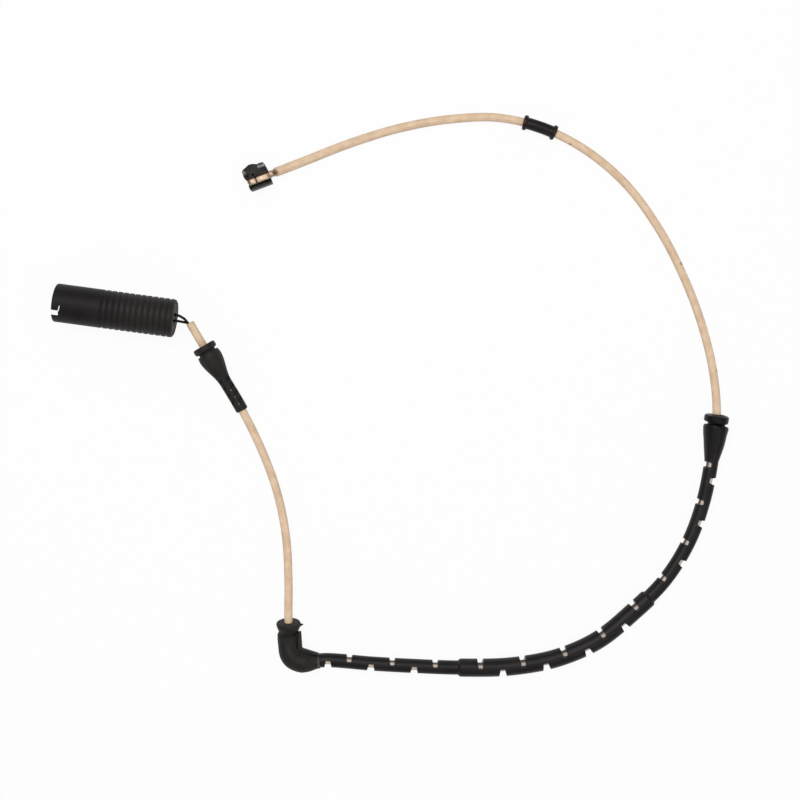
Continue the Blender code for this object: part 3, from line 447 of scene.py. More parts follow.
# Inside the plug they stand as far apart as its sockets, and in the sheath one lies on the other.
SOCKET_SIDE = 1.8
WIRE_RISE = 0.52
PLUG_MOUTH = (-139.5 * MM, 38.8 * MM, 8.0 * MM)
PLUG_TURN = math.radians(-7.7)
plug_place = Matrix.Translation(PLUG_MOUTH) @ Matrix.Rotation(PLUG_TURN, 4, "Z")
wire_black = finish_of(
    "wire_black", (0.003, 0.0025, 0.003, 1), (0.006, 0.005, 0.0055, 1), rough=(0.35, 0.45), blotch=400.0,
    specular=0.15,
)
to_side = Vector((into.y, -into.x, 0)).normalized()
for number, side, bend in zip((1, 2), WIRE_SIDES, WIRE_BENDS):
    inner = math.copysign(SOCKET_SIDE, side)
    rise = math.copysign(WIRE_RISE, side)
    straight = ((25.0, inner), (31.0, inner), (44.0, side), (48.5, side))
    knots = [plug_place @ Vector((x * MM, y * MM, 0)) for x, y in straight]
    knots += [Vector(point) * MM for point in bend]
    for reach, offset in ((0.0, 0.65), (1.0, 0.5), (2.1, 0.5)):
        knots.append(mouth + into * reach * MM + to_side * offset * MM + Vector((0, 0, rise * MM)))
    wire_line = smooth_route([tuple(knot) for knot in knots], 0.3 * MM)
    wire = wire_curve(f"core_lead_{number}", wire_line, WIRE_RADIUS, 4)
    pick(wire)
    bpy.ops.object.convert(target="MESH")
    wire = bpy.context.object
    bpy.ops.object.shade_smooth_by_angle(angle=math.radians(40))
    wire.data.materials.clear()
    wire.data.materials.append(wire_black)
    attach(wire, "root")
    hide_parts(f"core_wire_{number}")


# The plug shell. One black moulding: a thin-walled mouth with a hooked bayonet slot, a smooth
# barrel, and a grip of twelve grooves.
PLUG_RADIUS = 8.0
PLUG_LENGTH = 50.0
MOUTH_RADIUS = 6.5
SEAT_DEPTH = 17.0
GROOVE_COUNT = 12
FIRST_GROOVE = 20.35
GROOVE_PITCH = 2.45
GROOVE_FLOOR = 7.6
BARREL_BORE = 4.8
POCKET_START = 46.0
POCKET_RADIUS = 6.6
SLOT_SIDE = -4.35
PLUG_BLACK = (0.0095, 0.0075, 0.0080, 1)
PLUG_SHEEN = (0.0140, 0.0112, 0.0115, 1)
PLUG_GRIP_PALE = (0.0230, 0.0190, 0.0190, 1)


def rounded(outline, radius):
    """The outline with each of its corners taken off in a short curve."""
    result = [outline[0]]
    for before, corner, after in zip(outline, outline[1:], outline[2:]):
        a, c, b = (np.array(p) for p in (before, corner, after))
        room_a, room_b = np.linalg.norm(a - c), np.linalg.norm(b - c)
        cut_a, cut_b = min(radius, room_a * 0.45), min(radius, room_b * 0.45)
        start = c + (a - c) / room_a * cut_a
        end = c + (b - c) / room_b * cut_b
        for t in (0.0, 0.33, 0.67, 1.0):
            result.append(tuple((1 - t) ** 2 * start + 2 * t * (1 - t) * c + t * t * end))
    result.append(outline[-1])
    return result


def filled(outline, spacing):
    """The outline with points no further apart than this."""
    result = []
    for (a0, r0), (a1, r1) in zip(outline, outline[1:]):
        count = max(1, math.ceil(abs(a1 - a0) / spacing - 1e-6))
        result += [(a0 + (a1 - a0) * k / count, r0 + (r1 - r0) * k / count) for k in range(count)]
    return result + [outline[-1]]


def draw(name, points):
    """Draws a line of edges through the points, in millimetres, and stays in edit mode."""
    bpy.ops.object.select_all(action="DESELECT")
    bpy.ops.mesh.primitive_plane_add(size=1.0 * MM, location=(0, 0, 0))
    piece = bpy.context.object
    piece.name = name
    bpy.ops.object.mode_set(mode="EDIT")
    bpy.ops.mesh.select_mode(type="VERT")
    bpy.ops.mesh.select_all(action="SELECT")
    bpy.ops.mesh.merge(type="CENTER")
    bpy.ops.transform.translate(value=Vector(points[0]) * MM)
    for before, after in zip(points, points[1:]):
        step = (Vector(after) - Vector(before)) * MM
        bpy.ops.mesh.extrude_vertices_move(TRANSFORM_OT_translate={"value": step})
    bpy.ops.mesh.select_all(action="SELECT")
    return piece


def turn_on_lathe(name, outline, sides):
    """Spins the outline, pairs of distance and radius in millimetres, about the X axis."""
    piece = draw(name, [(a, 0, r) for a, r in outline])
    bpy.ops.mesh.spin(steps=sides, angle=2 * math.pi, center=(0, 0, 0), axis=(1, 0, 0))
    bpy.ops.mesh.select_all(action="SELECT")
    bpy.ops.mesh.remove_doubles(threshold=0.001 * MM)
    bpy.ops.mesh.normals_make_consistent(inside=False)
    bpy.ops.object.mode_set(mode="OBJECT")
    return piece


def block(name, size, middle, tilt=(0, 0, 0)):
    """A block, in millimetres, turned by the tilt in degrees about its middle."""
    bpy.ops.object.select_all(action="DESELECT")
    turn = [math.radians(angle) for angle in tilt]
    bpy.ops.mesh.primitive_cube_add(size=1.0 * MM, location=Vector(middle) * MM, rotation=turn)
    piece = bpy.context.object
    piece.name = name
    piece.scale = size
    bpy.ops.object.transform_apply(location=True, rotation=True, scale=True)
    return piece


def carve(piece, *cutters, operation="DIFFERENCE"):
    """Cuts the cutters out of the piece, or joins them to it, and clears them away."""
    for cutter in cutters:
        pick(piece)
        boolean = piece.modifiers.new("cut", "BOOLEAN")
        boolean.operation = operation
        boolean.solver = "EXACT"
        boolean.object = cutter
        bpy.ops.object.modifier_apply(modifier=boolean.name)
        bpy.data.objects.remove(cutter, do_unlink=True)


def settle(piece, place):
    """Moves the finished piece to its place and keeps that place in its mesh."""
    pick(piece)
    piece.matrix_world = place
    bpy.ops.object.transform_apply(location=True, rotation=True, scale=True)


def dress(piece, material, slot, *nodes, angle=35):
    """Smooth shading, material and place in the frame of a finished piece."""
    pick(piece)
    bpy.ops.object.shade_smooth_by_angle(angle=math.radians(angle))
    piece.data.materials.clear()
    piece.data.materials.append(material)
    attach(piece, "root")
    if nodes:
        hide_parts(*nodes)


shell_outline = [(0.0, 6.9), (0.0, 7.4), (0.2, 7.8), (0.7, PLUG_RADIUS)]
for k in range(GROOVE_COUNT):
    middle = FIRST_GROOVE + GROOVE_PITCH * k
    shell_outline += [(middle - 0.5, PLUG_RADIUS), (middle - 0.12, GROOVE_FLOOR)]
    shell_outline += [(middle + 0.12, GROOVE_FLOOR), (middle + 0.5, PLUG_RADIUS)]
shell_outline += [
    (48.7, PLUG_RADIUS), (49.6, 7.75), (PLUG_LENGTH, 7.1), (PLUG_LENGTH, POCKET_RADIUS),
    (POCKET_START, POCKET_RADIUS), (POCKET_START, BARREL_BORE), (SEAT_DEPTH, BARREL_BORE),
    (SEAT_DEPTH, MOUTH_RADIUS), (0.4, MOUTH_RADIUS), (0.0, 6.9),
]
shell = turn_on_lathe("plug_shell", rounded(shell_outline, 0.16), 96)
carve(
    shell,
    block("entry", (4.5, 1.9, 10), (0.8, SLOT_SIDE, 5)),
    block("hook", (1.3, 2.6, 10), (3.5, -2.45, 5), (0, 0, -12)),
    block("far_entry", (3.6, 1.9, 10), (0.4, SLOT_SIDE, -5)),
    block("far_recess", (1.4, 2.6, 10), (-0.35, -2.2, -5)),
)
settle(shell, plug_place)
plug_black = finish_of(
    "plug_black", PLUG_BLACK, PLUG_SHEEN, rough=(0.42, 0.55), blotch=90.0, grain=1500.0, relief=0.03,
    specular=0.15,
)
# The grip is painted paler than the barrel.
spot(plug_black, plug_place @ Vector((40 * MM, 2 * MM, 8 * MM)), 26 * MM, PLUG_GRIP_PALE, 0.9)
dress(shell, plug_black, "black_plastic", "connector_shell")


# The contact carrier. A grey insulating insert sits on the step inside the plug and carries two
# brass sockets. A rubber ring round its boss seals against the mating plug.
carrier_grey = finish_of(
    "carrier_grey", (0.06, 0.06, 0.06, 1), (0.09, 0.09, 0.088, 1), rough=(0.4, 0.55)
)
socket_brass = finish_of(
    "socket_brass", (0.60, 0.42, 0.18, 1), (0.75, 0.55, 0.28, 1), rough=(0.2, 0.35), blotch=500.0,
    grain=3000.0, relief=0.01, metallic=1.0,
)
seal_brown = finish_of(
    "seal_brown", (0.030, 0.019, 0.018, 1), (0.046, 0.030, 0.028, 1), rough=(0.6, 0.75), blotch=220.0,
    grain=1500.0, relief=0.04, specular=0.25,
)
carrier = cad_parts["contact_carrier"]
carrier.data.materials.clear()
carrier.data.materials.append(carrier_grey)
socket_outline = [
    (9.3, 0.55), (9.3, 1.0), (22.3, 1.0), (22.3, 0.75), (19.3, 0.75), (19.3, 0.0), (16.3, 0.0), (16.3, 0.55),
    (9.3, 0.55),
]
for number, side in ((1, SOCKET_SIDE), (2, -SOCKET_SIDE)):
    socket = turn_on_lathe(f"socket_{number}", rounded(socket_outline, 0.08), 32)
    settle(socket, plug_place @ Matrix.Translation((0, side * MM, 0)))
    dress(socket, socket_brass, "brass", f"contact_socket_{number}")
ring_outline = [(10.9, 4.6), (10.9, 5.1), (11.6, 5.7), (12.4, 5.7), (12.4, 4.0), (11.6, 4.0), (10.9, 4.6)]
ring = turn_on_lathe("face_ring", rounded(ring_outline, 0.2), 64)
settle(ring, plug_place)
dress(ring, seal_brown, "brown_rubber", "face_seal")


# The rear seal. A brown-black rubber disc, pressed into the back of the plug, closes it round the
# two wires and is nearly flush with the rim.
WIRE_HOLE_RADIUS = 0.8


def pin(name, radius, start, end, middle, upright=False):
    """A round pin from start to end, in millimetres, along X, or up through the middle."""
    bpy.ops.object.select_all(action="DESELECT")
    half = (start + end) / 2
    place = (*middle, half) if upright else (half, *middle)
    turn = (0, 0, 0) if upright else (0, math.pi / 2, 0)
    bpy.ops.mesh.primitive_cylinder_add(
        vertices=32, radius=radius * MM, depth=(end - start) * MM, location=Vector(place) * MM, rotation=turn
    )
    piece = bpy.context.object
    piece.name = name
    bpy.ops.object.transform_apply(location=True, rotation=True, scale=True)
    return piece


seal_outline = [(46.3, 0.0), (46.3, 6.3), (49.85, 6.3), (49.85, 2.9), (49.55, 2.6), (49.55, 0.0)]
seal = turn_on_lathe("rear_disc", rounded(seal_outline, 0.2), 64)
for side in WIRE_SIDES:
    carve(seal, pin("wire_hole", WIRE_HOLE_RADIUS, 44, 52, (side, 0)))
settle(seal, plug_place)
dress(seal, seal_brown, "brown_rubber", "rear_seal")


# The bulb grommet. Soft black rubber, moulded in one: a flange, a groove that snaps into a bracket,
# a bulb to pull it through by, and a tail with staggered windows that let it bend with the cable.
BORE = 2.05
BULB_START = 11.0
TAIL_RADIUS = 2.6
WINDOW_PITCH = 3.3
WINDOW_COUNT = 3
# Each row's blind dimples: the turn from the top, in degrees, and how far before the window they lie.
DIMPLES = ((-52, 1.65), (-22, 0.9), (38, 1.65), (68, 0.9))
rubber_black = finish_of(
    "rubber_black", (0.0105, 0.0090, 0.0075, 1), (0.0185, 0.0160, 0.0135, 1), rough=(0.5, 0.65),
    blotch=180.0, grain=1600.0, relief=0.05, specular=0.25,
)
bend_line = [cable_point(CABLE_LENGTH * k / 1300) for k in range(1301)]
cable_line = wire_curve("cable_line", bend_line, 0.0, 0)
cable_line.data.use_deform_bounds = False


def lay_on_cable(piece):
    """Bends a straight piece, whose X is the distance along the cable, onto the cable."""
    pick(piece)
    bend = piece.modifiers.new("Bend", "CURVE")
    bend.object = cable_line
    bend.deform_axis = "POS_X"
    bpy.ops.object.modifier_apply(modifier=bend.name)


def sleeve(name, start, outline, spacing, sides=48, corner=0.25):
    """A tube from the outside outline and the cable's bore, straight, with start as its X."""
    outside = rounded([(start + a, r) for a, r in outline], corner)
    first, last = outside[0], outside[-1]
    whole = [(first[0], BORE)] + outside + [(last[0], BORE), (first[0], BORE)]
    return turn_on_lathe(name, filled(whole, spacing), sides)


bulb_outline = [
    (0.0, 4.1), (0.0, 4.5), (0.5, 4.95), (2.1, 4.95), (2.6, 4.5), (2.7, 3.7), (3.6, 3.7), (3.6, 4.65),
    (5.2, 4.95),
]
for k in range(1, 13):
    share = k / 12
    bulb_outline.append((5.2 + 12.9 * share, TAIL_RADIUS + 2.4 * (1 + math.cos(math.pi * share)) / 2))
bulb_outline += [(30.9, TAIL_RADIUS), (31.4, 2.3), (31.4, 2.15)]
bulb = sleeve("bulb_sleeve", BULB_START, bulb_outline, 0.9)
last_window = BULB_START + 28.2
# Small windows show the cable on top, and the rows of dimples reach one row further.
for row in range(WINDOW_COUNT + 1):
    place = last_window - WINDOW_PITCH * row
    if row < WINDOW_COUNT:
        window = block("window", (0.7, 0.55, 3.0), (place, 0, TAIL_RADIUS - 0.8))
        settle(window, Matrix.Rotation(math.radians(-8), 4, "X"))
        carve(bulb, window)
    for turn_degrees, shift in DIMPLES:
        dimple = block("dimple", (1.5, 0.8, 0.9), (place - shift, 0, TAIL_RADIUS))
        settle(dimple, Matrix.Rotation(math.radians(turn_degrees), 4, "X"))
        carve(bulb, dimple)
lay_on_cable(bulb)
dress(bulb, rubber_black, "black_rubber", "bulb_grommet")


# The elbow grommet. The same rubber, moulded round a right angle: a tilted flange, a groove for its
# bracket, and two round legs. A flat web runs down the inner side of the bend, with a sharp corner.
ELBOW_START = 134.0
FLANGE_END = 4.3
NECK_END = 5.6
FLANGE_TILT = -11
# The legs are moulded a little to the outer side of the cable, and most at the bend.
LEG_OFFSET = 0.4
BEND_OFFSET = 0.85
BEND_AT = 150.0
WEB_CORNERS = (
    (-40.2, -98.0), (-37.85, -98.0), (-37.35, -104.9), (-33.6, -106.1), (-30.4, -107.1), (-30.4, -107.9),
    (-35.5, -107.3), (-38.6, -105.9), (-40.0, -103.5),
)
WEB_LOW = 3.7
WEB_HIGH = 7.1
FLASH_PLACE = (-38.9, -95.2, 6.3)
EDGE_HIGHLIGHT_GREY = (0.13, 0.125, 0.12, 1)


def choose(piece_mesh, chosen):
    """Selects just the vertices that the rule holds for, given their places in millimetres."""
    bpy.ops.mesh.select_all(action="DESELECT")
    for vertex in bmesh.from_edit_mesh(piece_mesh).verts:
        vertex.select = chosen(*(vertex.co / MM))
    bmesh.update_edit_mesh(piece_mesh)


def plate(name, corners, low, high):
    """A flat plate between two heights, its outline drawn corner by corner, in millimetres."""
    piece = draw(name, [(x, y, low) for x, y in corners])
    bpy.ops.mesh.edge_face_add()
    bpy.ops.mesh.extrude_region_move(TRANSFORM_OT_translate={"value": (0, 0, (high - low) * MM)})
    bpy.ops.mesh.select_all(action="SELECT")
    bpy.ops.mesh.normals_make_consistent(inside=False)
    bpy.ops.object.mode_set(mode="OBJECT")
    return piece


def soften(piece, width, angle=40):
    """Rounds the piece's sharp edges."""
    pick(piece)
    bevel = piece.modifiers.new("soft_edges", "BEVEL")
    bevel.width = width * MM
    bevel.segments = 3
    bevel.limit_method = "ANGLE"
    bevel.angle_limit = math.radians(angle)
    bpy.ops.object.modifier_apply(modifier=bevel.name)


elbow_outline = [
    (0.0, 0.0), (0.0, 4.6), (0.2, 4.9), (0.6, 5.05), (1.5, 5.0), (2.8, 4.5), (4.2, 3.95), (4.35, 3.5),
    (5.1, 3.5), (5.25, 4.25), (6.5, 4.35), (10.0, 4.4), (15.0, 4.6), (19.5, 4.5), (24.0, 3.0), (25.5, 2.9),
    (25.5, 0.0),
]
elbow_outline = rounded([(ELBOW_START + a, r) for a, r in elbow_outline], 0.2)
elbow = turn_on_lathe("elbow_sleeve", filled(elbow_outline, 0.6), 64)
bpy.ops.object.mode_set(mode="EDIT")
choose(elbow.data, lambda x, y, z: x < ELBOW_START + NECK_END)
bpy.ops.transform.rotate(
    value=math.radians(FLANGE_TILT),
    orient_axis="Y",
    center_override=((ELBOW_START + 3.2) * MM, 0, 0),
    use_proportional_edit=True,
    proportional_edit_falloff="SMOOTH",
    proportional_size=8.0 * MM,
)
choose(elbow.data, lambda x, y, z: x > ELBOW_START + FLANGE_END)
bpy.ops.transform.translate(value=(0, -LEG_OFFSET * MM, 0))
choose(elbow.data, lambda x, y, z: abs(x - BEND_AT) < 1.2)
bpy.ops.transform.translate(
    value=(0, -BEND_OFFSET * MM, 0),
    use_proportional_edit=True,
    proportional_edit_falloff="SMOOTH",
    proportional_size=9.0 * MM,
)
bpy.ops.object.mode_set(mode="OBJECT")
lay_on_cable(elbow)
web = plate("web", WEB_CORNERS, WEB_LOW, WEB_HIGH)
soften(web, 0.25)
# A spike of flash was left on the flange where the mould parted.
flash = turn_on_lathe("mould_flash", ((0.0, 0.0), (0.0, 1.1), (2.1, 0.12), (2.1, 0.0)), 12)
settle(flash, Matrix.Translation(Vector(FLASH_PLACE) * MM) @ Matrix.Rotation(math.radians(8), 4, "Z"))
carve(elbow, web, flash, operation="UNION")
carve(elbow, block("web_groove", (0.5, 7.6, 4.0), (-39.3, -101.0, 7.4)))
bore_line = [cable_point((ELBOW_START - 4 + 0.6 * k) * MM) for k in range(54)]
bore = wire_curve("elbow_bore", bore_line, BORE * MM, 10)
pick(bore)
bpy.ops.object.convert(target="MESH")
carve(elbow, bpy.context.object)
elbow_black = rubber_black.copy()
elbow_black.name = "elbow_black"
# A grey band is painted round the end that meets the guide, as the highlight on its edge.
place = elbow_black.node_tree.nodes.new("ShaderNodeTexCoord")
parted = elbow_black.node_tree.nodes.new("ShaderNodeSeparateXYZ")
elbow_black.node_tree.links.new(place.outputs["Object"], parted.inputs[0])
edge_highlight = ramp_of(elbow_black, parted.outputs["X"], -30.9 * MM, -30.75 * MM, 0.6)
tint(elbow_black, edge_highlight, EDGE_HIGHLIGHT_GREY)
dress(elbow, elbow_black, "black_rubber", "elbow_grommet", angle=30)


# The notched guide. A long tube of stiffer black plastic with deep notches sawn from alternate sides,
# so that it bends one way and the other. It is thicker in the middle, and its end is a cone grommet.
GUIDE_START = 159.3
THIN_RADIUS = 2.95
WIDE_RADIUS = 3.79
NOTCH_PITCH = 18.0
FLANGE_START = 225.6
guide_black = finish_of(
    "guide_black", (0.0070, 0.0052, 0.0054, 1), (0.0130, 0.0100, 0.0102, 1), rough=(0.32, 0.44),
    blotch=120.0, grain=1400.0, relief=0.04, specular=0.21,
)
guide_outline = [
    (0.0, 2.7), (0.0, THIN_RADIUS), (57.8, THIN_RADIUS), (58.9, WIDE_RADIUS), (145.5, WIDE_RADIUS),
    (146.6, THIN_RADIUS), (210.1, THIN_RADIUS), (216.0, 4.15), (223.9, 5.3), (224.7, 5.05), (225.0, 4.6),
    (225.0, 3.75), (226.3, 3.75), (226.3, 4.9), (226.7, 5.1), (228.6, 5.1), (229.1, 4.7), (229.3, 3.2),
]
# The cone at the end is darker than the tube.
spot(guide_black, Vector((134.9, -9.0, 6.0)) * MM, 15.0 * MM, (0.0020, 0.0012, 0.0012, 1), 1.0)
guide = sleeve("notched_sleeve", GUIDE_START, guide_outline, 1.2, 40, 0.15)
carve(guide, block("key", (2.4, 3.2, 1.1), (GUIDE_START + 225.4, 0, 3.7)), operation="UNION")


def notch(place, side, floor, rim, roll):
    """A saw cut from one side down to its floor, wider at the rim, rolled about the cable in degrees."""
    reach = rim + 0.5
    half = 1.0 if side < 0 else 0.8
    corners = ((-half, floor), (-half - 0.65, reach), (half + 0.65, reach), (half, floor))
    piece = plate("notch", corners, -8, 8)
    turned = Matrix.Rotation(math.radians(roll), 4, "X")
    if side < 0:
        turned = Matrix.Rotation(math.pi, 4, "X") @ turned
    settle(piece, Matrix.Translation((place * MM, 0, 0)) @ turned)
    return piece


# Each run of notches: the first one's place, how many, the side, the floor, the tube's radius, the roll.
notch_runs = (
    (3.7, 3, -1, -0.1, THIN_RADIUS, 0),
    (12.4, 3, 1, 0.7, THIN_RADIUS, 15),
    (67.3, 5, 1, 0.55, WIDE_RADIUS, 16),
    (76.5, 4, -1, 0.45, WIDE_RADIUS, 0),
    (156.2, 3, 1, 0.7, THIN_RADIUS, 15),
    (165.8, 3, -1, 0.05, THIN_RADIUS, 0),
    (208.3, 1, 1, 0.7, THIN_RADIUS, 15),
)
for first, count, side, floor, rim, roll in notch_runs:
    for k in range(count):
        carve(guide, notch(GUIDE_START + first + NOTCH_PITCH * k, side, floor, rim, roll))
# The cone's end leans to one side, and its flange looks up a little.
pick(guide)
bpy.ops.object.mode_set(mode="EDIT")
choose(guide.data, lambda x, y, z: x > GUIDE_START + 223.0)
bpy.ops.transform.rotate(
    value=math.radians(5),
    orient_axis="Z",
    center_override=((GUIDE_START + 224.0) * MM, 0, 0),
    use_proportional_edit=True,
    proportional_edit_falloff="SMOOTH",
    proportional_size=6.0 * MM,
)
choose(guide.data, lambda x, y, z: x > GUIDE_START + FLANGE_START and math.hypot(y, z) > 3.9)
bpy.ops.transform.rotate(
    value=math.radians(11), orient_axis="Y", center_override=((GUIDE_START + 227.6) * MM, 0, 0)
)
bpy.ops.transform.translate(value=(0, 0.35 * MM, 0))
bpy.ops.object.mode_set(mode="OBJECT")
lay_on_cable(guide)
dress(guide, guide_black, "black_plastic", "notched_guide")


# The spool sleeve. A small hard plastic sleeve, slid onto the cable not far from the wear head. A
# flange at each of its ends keeps the vehicle's clip in place.
SPOOL_START = 530.9
SPOOL_LENGTH = 14.3
SPOOL_BROWN = (0.035, 0.014, 0.008, 1)
spool_outline = [
    (0.0, 2.4), (0.0, 2.8), (0.45, 3.15), (1.3, 3.15), (1.7, 2.9), (1.75, 2.45), (12.55, 2.45), (12.6, 2.9),
    (13.0, 3.15), (13.85, 3.15), (SPOOL_LENGTH, 2.8), (SPOOL_LENGTH, 2.4),
]
spool = sleeve("spool_tube", SPOOL_START, spool_outline, 0.8, 48, 0.15)
lay_on_cable(spool)
bpy.data.objects.remove(cable_line, do_unlink=True)
spool_black = guide_black.copy()
spool_black.name = "spool_black"
# Its flanges are painted brown on top.
for end in (SPOOL_START, SPOOL_START + SPOOL_LENGTH):
    flange_top = cable_point(end * MM) + Vector((0, 0, 2.4 * MM))
    spot(spool_black, flange_top, 2.2 * MM, SPOOL_BROWN, 0.8)
dress(spool, spool_black, "black_plastic", "spool_sleeve")


# The cable's end at the wear head. The sleeve's last stretch is painted dark brown on top, and a copper
# collar is crimped over the inner jacket where it enters the moulding.
CABLE_END = (-48.2 * MM, 93.8 * MM, 0)
END_HEIGHT = 2.5 * MM
HEAD_TURN = math.radians(200.6)
END_BROWN = (0.10, 0.04, 0.018, 1)
head_place = Matrix.Translation(CABLE_END) @ Matrix.Rotation(HEAD_TURN, 4, "Z")
cable_end = head_place @ Matrix.Translation((0, 0, END_HEIGHT))
end_sleeve = finish_of(
    "end_sleeve", (0.66, 0.47, 0.33, 1), (0.84, 0.62, 0.44, 1), rough=(0.5, 0.65), blotch=900.0,
    relief=0.05,
)
# A dark brown patch is painted on top of the sleeve's end, beside the moulding.
brown_patch = head_place @ Vector((0.9 * MM, 0.3 * MM, 4.2 * MM))
for material in (end_sleeve, cream):
    spot(material, brown_patch, 2.0 * MM, END_BROWN, 0.95)
collar_copper = finish_of(
    "collar_copper", (0.58, 0.38, 0.31, 1), (0.80, 0.58, 0.50, 1), blotch=700.0, grain=3000.0, metallic=1.0
)
jacket_outline = [
    (0.02, 0.0), (0.02, 1.95), (0.6, 1.9), (0.9, 1.6), (1.75, 1.5), (1.82, 1.03), (5.98, 1.03), (5.98, 0.0),
]
jacket = turn_on_lathe("end_jacket", rounded(jacket_outline, 0.08), 40)
settle(jacket, cable_end)
dress(jacket, end_sleeve, "brown_jacket", "inner_jacket")
collar_outline = [
    (1.86, 1.1), (1.86, 1.45), (2.0, 1.5), (2.45, 1.5), (2.6, 1.44), (2.75, 1.5), (3.8, 1.5), (4.0, 1.4),
    (4.0, 1.1), (1.86, 1.1),
]
collar = turn_on_lathe("copper_collar", rounded(collar_outline, 0.06), 48)
settle(collar, cable_end)
dress(collar, collar_copper, "copper", "crimp_ferrule")


# The wear head. A hard grey-black moulding clips over the edge of the pad's back plate: a block
# with a lug and two pits, and a lip, with a groove between them that a thin rib crosses.
HEAD_TOP = 6.6
GROOVE_MIDDLE = 1.2
RIB_AT = 9.2
FACET_HIGHLIGHT_GREY = (0.42, 0.41, 0.40, 1)
PAINTED_SHADE_BROWN = (0.0065, 0.0048, 0.0055, 1)
STAIN_RED = (0.10, 0.04, 0.025, 1)
head_grey = finish_of(
    "head_grey", (0.014, 0.0115, 0.0105, 1), (0.032, 0.028, 0.026, 1), rough=(0.4, 0.55), blotch=420.0,
    grain=1800.0, relief=0.06, specular=0.15,
)
# Its facets are painted paler as highlights, and painted brown shade and a red stain lie about the groove.
for place, radius, tone, strength in (
    ((6.2, -4.0, 6.9), 0.95, FACET_HIGHLIGHT_GREY, 0.7),
    ((5.2, -3.95, 6.9), 0.85, FACET_HIGHLIGHT_GREY, 0.75),
    ((4.15, -3.9, 6.9), 0.95, FACET_HIGHLIGHT_GREY, 0.85),
    ((12.9, -3.7, 6.0), 1.2, FACET_HIGHLIGHT_GREY, 0.55),
    ((4.6, -1.9, 6.6), 1.7, PAINTED_SHADE_BROWN, 0.9),
    ((4.8, -0.9, 6.6), 0.8, STAIN_RED, 0.7),
    ((12.4, -1.2, 6.0), 1.3, PAINTED_SHADE_BROWN, 0.85),
    ((8.4, -5.9, 6.6), 1.0, PAINTED_SHADE_BROWN, 0.7),
    ((5.0, 3.9, 5.0), 2.6, PAINTED_SHADE_BROWN, 0.9),
    ((8.5, 3.9, 5.0), 2.6, PAINTED_SHADE_BROWN, 0.9),
    ((12.0, 3.7, 5.0), 2.6, PAINTED_SHADE_BROWN, 0.9),
):
    spot(head_grey, head_place @ (Vector(place) * MM), radius * MM, tone, strength)
head_corners = (
    (3.2, 3.95), (12.2, 3.95), (12.75, 3.7), (13.05, 3.2), (13.1, 1.9), (12.6, 1.3), (12.6, -0.2),
    (13.6, -1.9), (13.6, -4.3), (13.2, -4.9), (9.9, -6.25), (8.3, -6.05), (6.3, -5.2), (5.7, -5.45),
    (3.9, -5.2), (3.5, -4.1), (3.2, -2.1),
)
head = plate("head_moulding", head_corners, 0.0, HEAD_TOP)
soften(head, 0.3)
lug = block("lug", (3.1, 1.7, 1.4), (5.35, -4.15, 6.5), (-16, 0, 0))
soften(lug, 0.15)
rib = block("rib", (0.3, 4.2, 1.1), (RIB_AT, GROOVE_MIDDLE, 5.0))
groove = block("groove", (14, 3.9, 3), (8.4, GROOVE_MIDDLE, 6.1))
lip_gap = block("lip_gap", (14, 0.85, 6), (8.4, 2.725, 5.2))
carve(head, groove, lip_gap)
carve(head, lug, rib, operation="UNION")


def loop_line(start):
    """The wear loop's way up the moulding and back, from the start, in millimetres, to the working edge."""
    turn_at = 11.9
    half = 0.8
    arc = np.linspace(-math.pi / 2, math.pi / 2, 13)
    corners = [(start, -half)]
    corners += [(turn_at + half * math.cos(angle), half * math.sin(angle)) for angle in arc]
    corners.append((start, half))
    return [cable_end @ Vector((x * MM, y * MM, 0)) for x, y in corners]


tunnel = wire_curve("tunnel", loop_line(5.0), 0.72 * MM, 4)
pick(tunnel)
bpy.ops.object.convert(target="MESH")
tunnel = bpy.context.object
settle(tunnel, head_place.inverted())
carve(
    head,
    block("nose_facet", (4.0, 2.3, 2.4), (12.89, -3.9, 7.58), (0, 35, 0)),
    pin("collar_hole", 2.05, -1, 4.3, (0, 2.5)),
    pin("jacket_hole", 1.35, 0, 6.3, (0, 2.5)),
    tunnel,
    pin("pit", 0.58, HEAD_TOP - 2.8, 8, (9.65, -1.6), upright=True),
    pin("small_pit", 0.45, HEAD_TOP - 2.4, 8, (11.9, -1.87), upright=True),
)
settle(head, head_place)
dress(head, head_grey, "black_plastic", "sensor_body")


# The retaining spring. A bronze leaf lies in the head's groove, bowed up on each side of the rib. Its
# edge along the block is painted reddish brown, and its ends, the dip at the rib and its lower edge are
# painted olive and brown, as shade where the leaf bows down.
SPRING_ENDS = (3.3, 12.2)
SPRING_EDGE = -0.62
SPRING_HEIGHT = 4.92
SPRING_BOW = 0.5
SPRING_THICKNESS = 0.22
SPRING_DIP_SHADE = (0.26, 0.16, 0.07, 1)
spring_bronze = finish_of(
    "spring_bronze", (0.56, 0.40, 0.29, 1), (0.76, 0.58, 0.45, 1), rough=(0.48, 0.6), blotch=800.0,
    grain=3000.0, metallic=1.0,
)
# Brown painted shade at the leaf's ends and at the rib, where it bows down.
for place, radius in (((3.5, 1.2, 5.1), 1.1), ((9.2, 1.6, 5.1), 0.8), ((12.1, 0.9, 5.1), 0.9)):
    spot(spring_bronze, head_place @ (Vector(place) * MM), radius * MM, SPRING_DIP_SHADE, 0.8)
edge_red = finish_of(
    "edge_red", (0.17, 0.075, 0.045, 1), (0.28, 0.13, 0.08, 1), rough=(0.4, 0.55), blotch=900.0
)
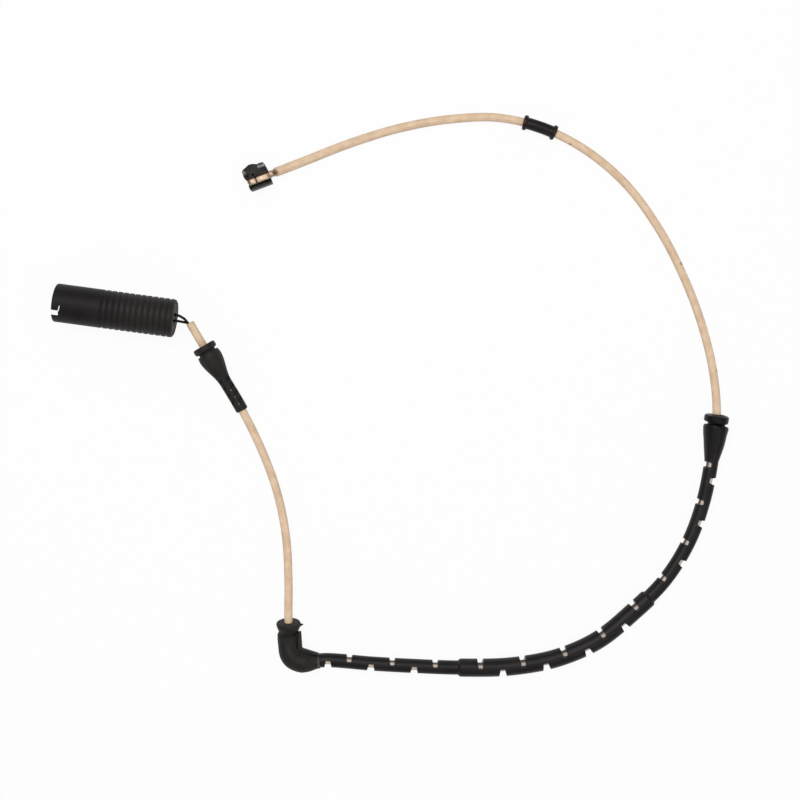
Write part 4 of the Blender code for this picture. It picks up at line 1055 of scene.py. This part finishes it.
shade_olive = finish_of(
    "shade_olive", (0.20, 0.15, 0.08, 1), (0.34, 0.27, 0.16, 1), rough=(0.4, 0.55), blotch=900.0
)
spring_line = []
for start, end, count in ((SPRING_ENDS[0], RIB_AT, 14), (RIB_AT, SPRING_ENDS[1], 10)):
    for k in range(count):
        share = k / count
        height = SPRING_HEIGHT + SPRING_BOW * math.sin(math.pi * share) ** 0.6
        spring_line.append((start + (end - start) * share, SPRING_EDGE, height))
spring_line.append((SPRING_ENDS[1], SPRING_EDGE, SPRING_HEIGHT))
spring = draw("leaf_spring", spring_line)
for across, rise in ((0.36, 0.16), (0.4, 0.06), (0.5, 0.03), (0.5, -0.03), (0.5, -0.07), (0.38, -0.14)):
    bpy.ops.mesh.extrude_edges_move(TRANSFORM_OT_translate={"value": (0, across * MM, rise * MM)})
bpy.ops.mesh.select_all(action="SELECT")
bpy.ops.mesh.normals_make_consistent(inside=False)
bpy.ops.object.mode_set(mode="OBJECT")
thicken = spring.modifiers.new("sheet", "SOLIDIFY")
thicken.thickness = SPRING_THICKNESS * MM
thicken.offset = 0
bpy.ops.object.modifier_apply(modifier=thicken.name)
# The first material is the bright leaf, the second its reddish edge by the block, the third its ends, the
# rib's dip and its lower edge, in painted olive shade.
zones = []
for face in spring.data.polygons:
    x, y, z = face.center / MM
    at_end = x < SPRING_ENDS[0] + 0.8 or x > SPRING_ENDS[1] - 0.7 or abs(x - RIB_AT) < 0.35
    zones.append(1 if y < -0.1 else 2 if at_end or y > 1.5 else 0)
settle(spring, head_place)
dress(spring, spring_bronze, "bronze", "retaining_spring", angle=50)
spring.data.materials.append(edge_red)
spring.data.materials.append(shade_olive)
for face, zone in zip(spring.data.polygons, zones):
    face.material_index = zone


# The wear loop. A bare copper wire runs up the moulding and back, and shows at its working edge,
# where the disc grinds through it when the pad is worn.
loop = wire_curve("contact_loop", loop_line(6.3), 0.45 * MM, 4)
pick(loop)
bpy.ops.object.convert(target="MESH")
dress(bpy.context.object, collar_copper, "copper", "wear_loop", angle=60)
